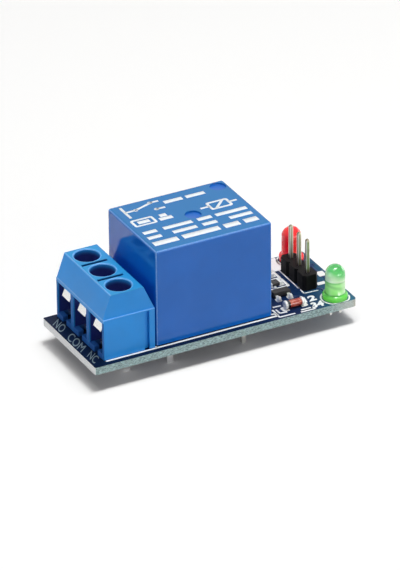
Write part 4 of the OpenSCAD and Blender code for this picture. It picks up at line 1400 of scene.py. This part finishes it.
class RELAYBOARD_OT_studio(BoardStep, bpy.types.Operator):
    """Pale floor, soft lights, sky and camera"""

    bl_idname = "relay_board.studio"
    bl_label = "Studio"

    def execute(self, context):
        context.scene.view_settings.view_transform = "Standard"
        settings = context.scene.studio_settings
        self.floor(settings)
        self.sky(settings)
        self.lights(settings)
        self.camera()
        return {"FINISHED"}

    def stand(self, name, data):
        """An object that belongs to the studio."""
        made = bpy.data.objects.new(name, data)
        bpy.context.scene.collection.objects.link(made)
        return made

    def floor(self, settings):
        """A wide floor, lifted a little towards white where the camera or a mirror sees it."""
        form = bmesh.new()
        bmesh.ops.create_grid(form, x_segments=1, y_segments=1, size=2500)
        mesh = mesh_from("floor", form, outwards=False)
        f = Finish("pale_floor", Roughness=0.9, Specular_IOR_Level=0.0)
        drift = f.noise(0.01, 2)
        rays = f.add("ShaderNodeLightPath")
        seen = (rays + rays.out("Is Glossy Ray") + rays.out("Is Transmission Ray")).clamp()
        pale = f.mix(drift * 0.5, (1.0, 1.0, 1.0), (0.985, 0.985, 0.99))
        f.put(Base_Color=f.mix(seen, (0.6, 0.6, 0.6), pale))
        glow = {"Color": (1, 1, 1), "Strength": seen * settings.floor_glow}
        glow = f.add("ShaderNodeEmission", {}, glow)
        both = f.add("ShaderNodeAddShader", {}, {0: f.shader, 1: glow})
        f.feed(f.surface.node.inputs[0], both)
        mesh.materials.append(f.material)
        self.stand("floor", mesh)

    def sky(self, settings):
        """White where it is seen; for lighting, brighter from the front right and above."""
        world = bpy.data.worlds.new("sky")
        bpy.context.scene.world = world
        world.use_nodes = True
        sky = Tree(world.node_tree)
        rays = sky.add("ShaderNodeLightPath")
        seen = rays.maths("MAXIMUM", rays.out("Is Glossy Ray"))
        seen = seen.maths("MAXIMUM", rays.out("Is Transmission Ray"))
        way = sky.add("ShaderNodeTexCoord").out("Generated")
        towards = sky.add("ShaderNodeVectorMath", {"operation": "DOT_PRODUCT"},
                          {0: way, 1: (0.6, -0.5, 0.62)}).out("Value")
        level = sky.add("ShaderNodeMapRange", {},
                        {0: towards, 1: -0.6, 3: settings.sky * 0.3, 4: settings.sky * 1.3})
        strength = sky.add("ShaderNodeMapRange", {}, {0: seen, 3: level, 4: 1.0})
        light = sky.add("ShaderNodeBackground", {}, {"Strength": strength})
        sky.add("ShaderNodeOutputWorld", {}, {0: light})

    def lights(self, settings):
        """Soft boxes: name, place, target, power, size and colour. Lengths in metres."""
        half = settings.overhead * 0.5
        board, warm = (0, 0, 0.01), (1, 0.995, 0.98)
        for name, place, target, power, size, colour in (
            ("overhead", (0.01, -0.05, 0.6), (0, 0, 0), half, (0.6, 0.12), warm),
            ("key", (0.04, -0.05, 0.6), (0, 0, 0), half, (0.16, 0.12), warm),
            ("left_fill", (-0.7, 0.0, 0.17), board, settings.left_fill, (0.3, 0.3), (0.99, 0.99, 1)),
            ("right_fill", (0.6, 0.2, 0.06), (0.02, 0, 0), 0.8, (0.3, 0.1), (1, 1, 1)),
            ("front_fill", (0.25, -0.7, 0.07), board, settings.front_fill, (0.5, 0.1), (0.98, 0.99, 1)),
        ):
            data = bpy.data.lights.new(name, "AREA")
            data.shape, data.energy, data.color = "RECTANGLE", power, colour
            data.size, data.size_y = size
            lamp = self.stand(name, data)
            lamp.location = place
            aim = Vector(target) - Vector(place)
            lamp.rotation_euler = aim.to_track_quat("-Z", "Y").to_euler()

    def camera(self):
        """A long lens. Its place is in metres, and the matrix holds the way it is turned."""
        data = bpy.data.cameras.new("camera")
        data.lens, data.sensor_width, data.sensor_fit = 341.49, 36, "AUTO"
        data.clip_start, data.clip_end = 0.01, 10
        camera = self.stand("camera", data)
        camera.matrix_world = Matrix.Translation((-0.322681, -0.619035, 0.390936)) @ Matrix((
            (0.88454, 0.231026, -0.405236),
            (-0.466384, 0.421887, -0.777494),
            (-0.008658, 0.87672, 0.480923),
        )).to_4x4()
        bpy.context.scene.camera = camera


STEPS = (
    RELAYBOARD_OT_board,
    RELAYBOARD_OT_copper,
    RELAYBOARD_OT_printing,
    RELAYBOARD_OT_terminal_block,
    RELAYBOARD_OT_terminal_clamps,
    RELAYBOARD_OT_relay_case,
    RELAYBOARD_OT_relay_printing,
    RELAYBOARD_OT_relay_works,
    RELAYBOARD_OT_header,
    RELAYBOARD_OT_lamps,
    RELAYBOARD_OT_chips,
    RELAYBOARD_OT_studio,
)


class RELAYBOARD_PT_panel(bpy.types.Panel):
    """Lists the board's steps and settings"""

    bl_idname = "RELAYBOARD_PT_panel"
    bl_label = "Relay module board"
    bl_space_type = "VIEW_3D"
    bl_region_type = "UI"
    bl_category = "Relay board"

    def draw(self, context):
        for step in STEPS:
            self.layout.operator(step.bl_idname)
        for name in SETTINGS:
            group, box = getattr(context.scene, name), self.layout.box()
            for key in group.__annotations__:
                box.prop(group, key)


SETTINGS = {
    "board_settings": BoardSettings, "part_settings": PartSettings, "studio_settings": StudioSettings,
}
CLASSES = (*SETTINGS.values(), *STEPS, RELAYBOARD_PT_panel)


def register():
    for one in CLASSES:
        bpy.utils.register_class(one)
    for name, group in SETTINGS.items():
        setattr(bpy.types.Scene, name, bpy.props.PointerProperty(type=group))


def unregister():
    for name in SETTINGS:
        delattr(bpy.types.Scene, name)
    for one in reversed(CLASSES):
        bpy.utils.unregister_class(one)


def main():
    register()
    for step in STEPS:
        section, name = step.bl_idname.split(".")
        getattr(getattr(bpy.ops, section), name)()


if __name__ == "__main__":
    main()
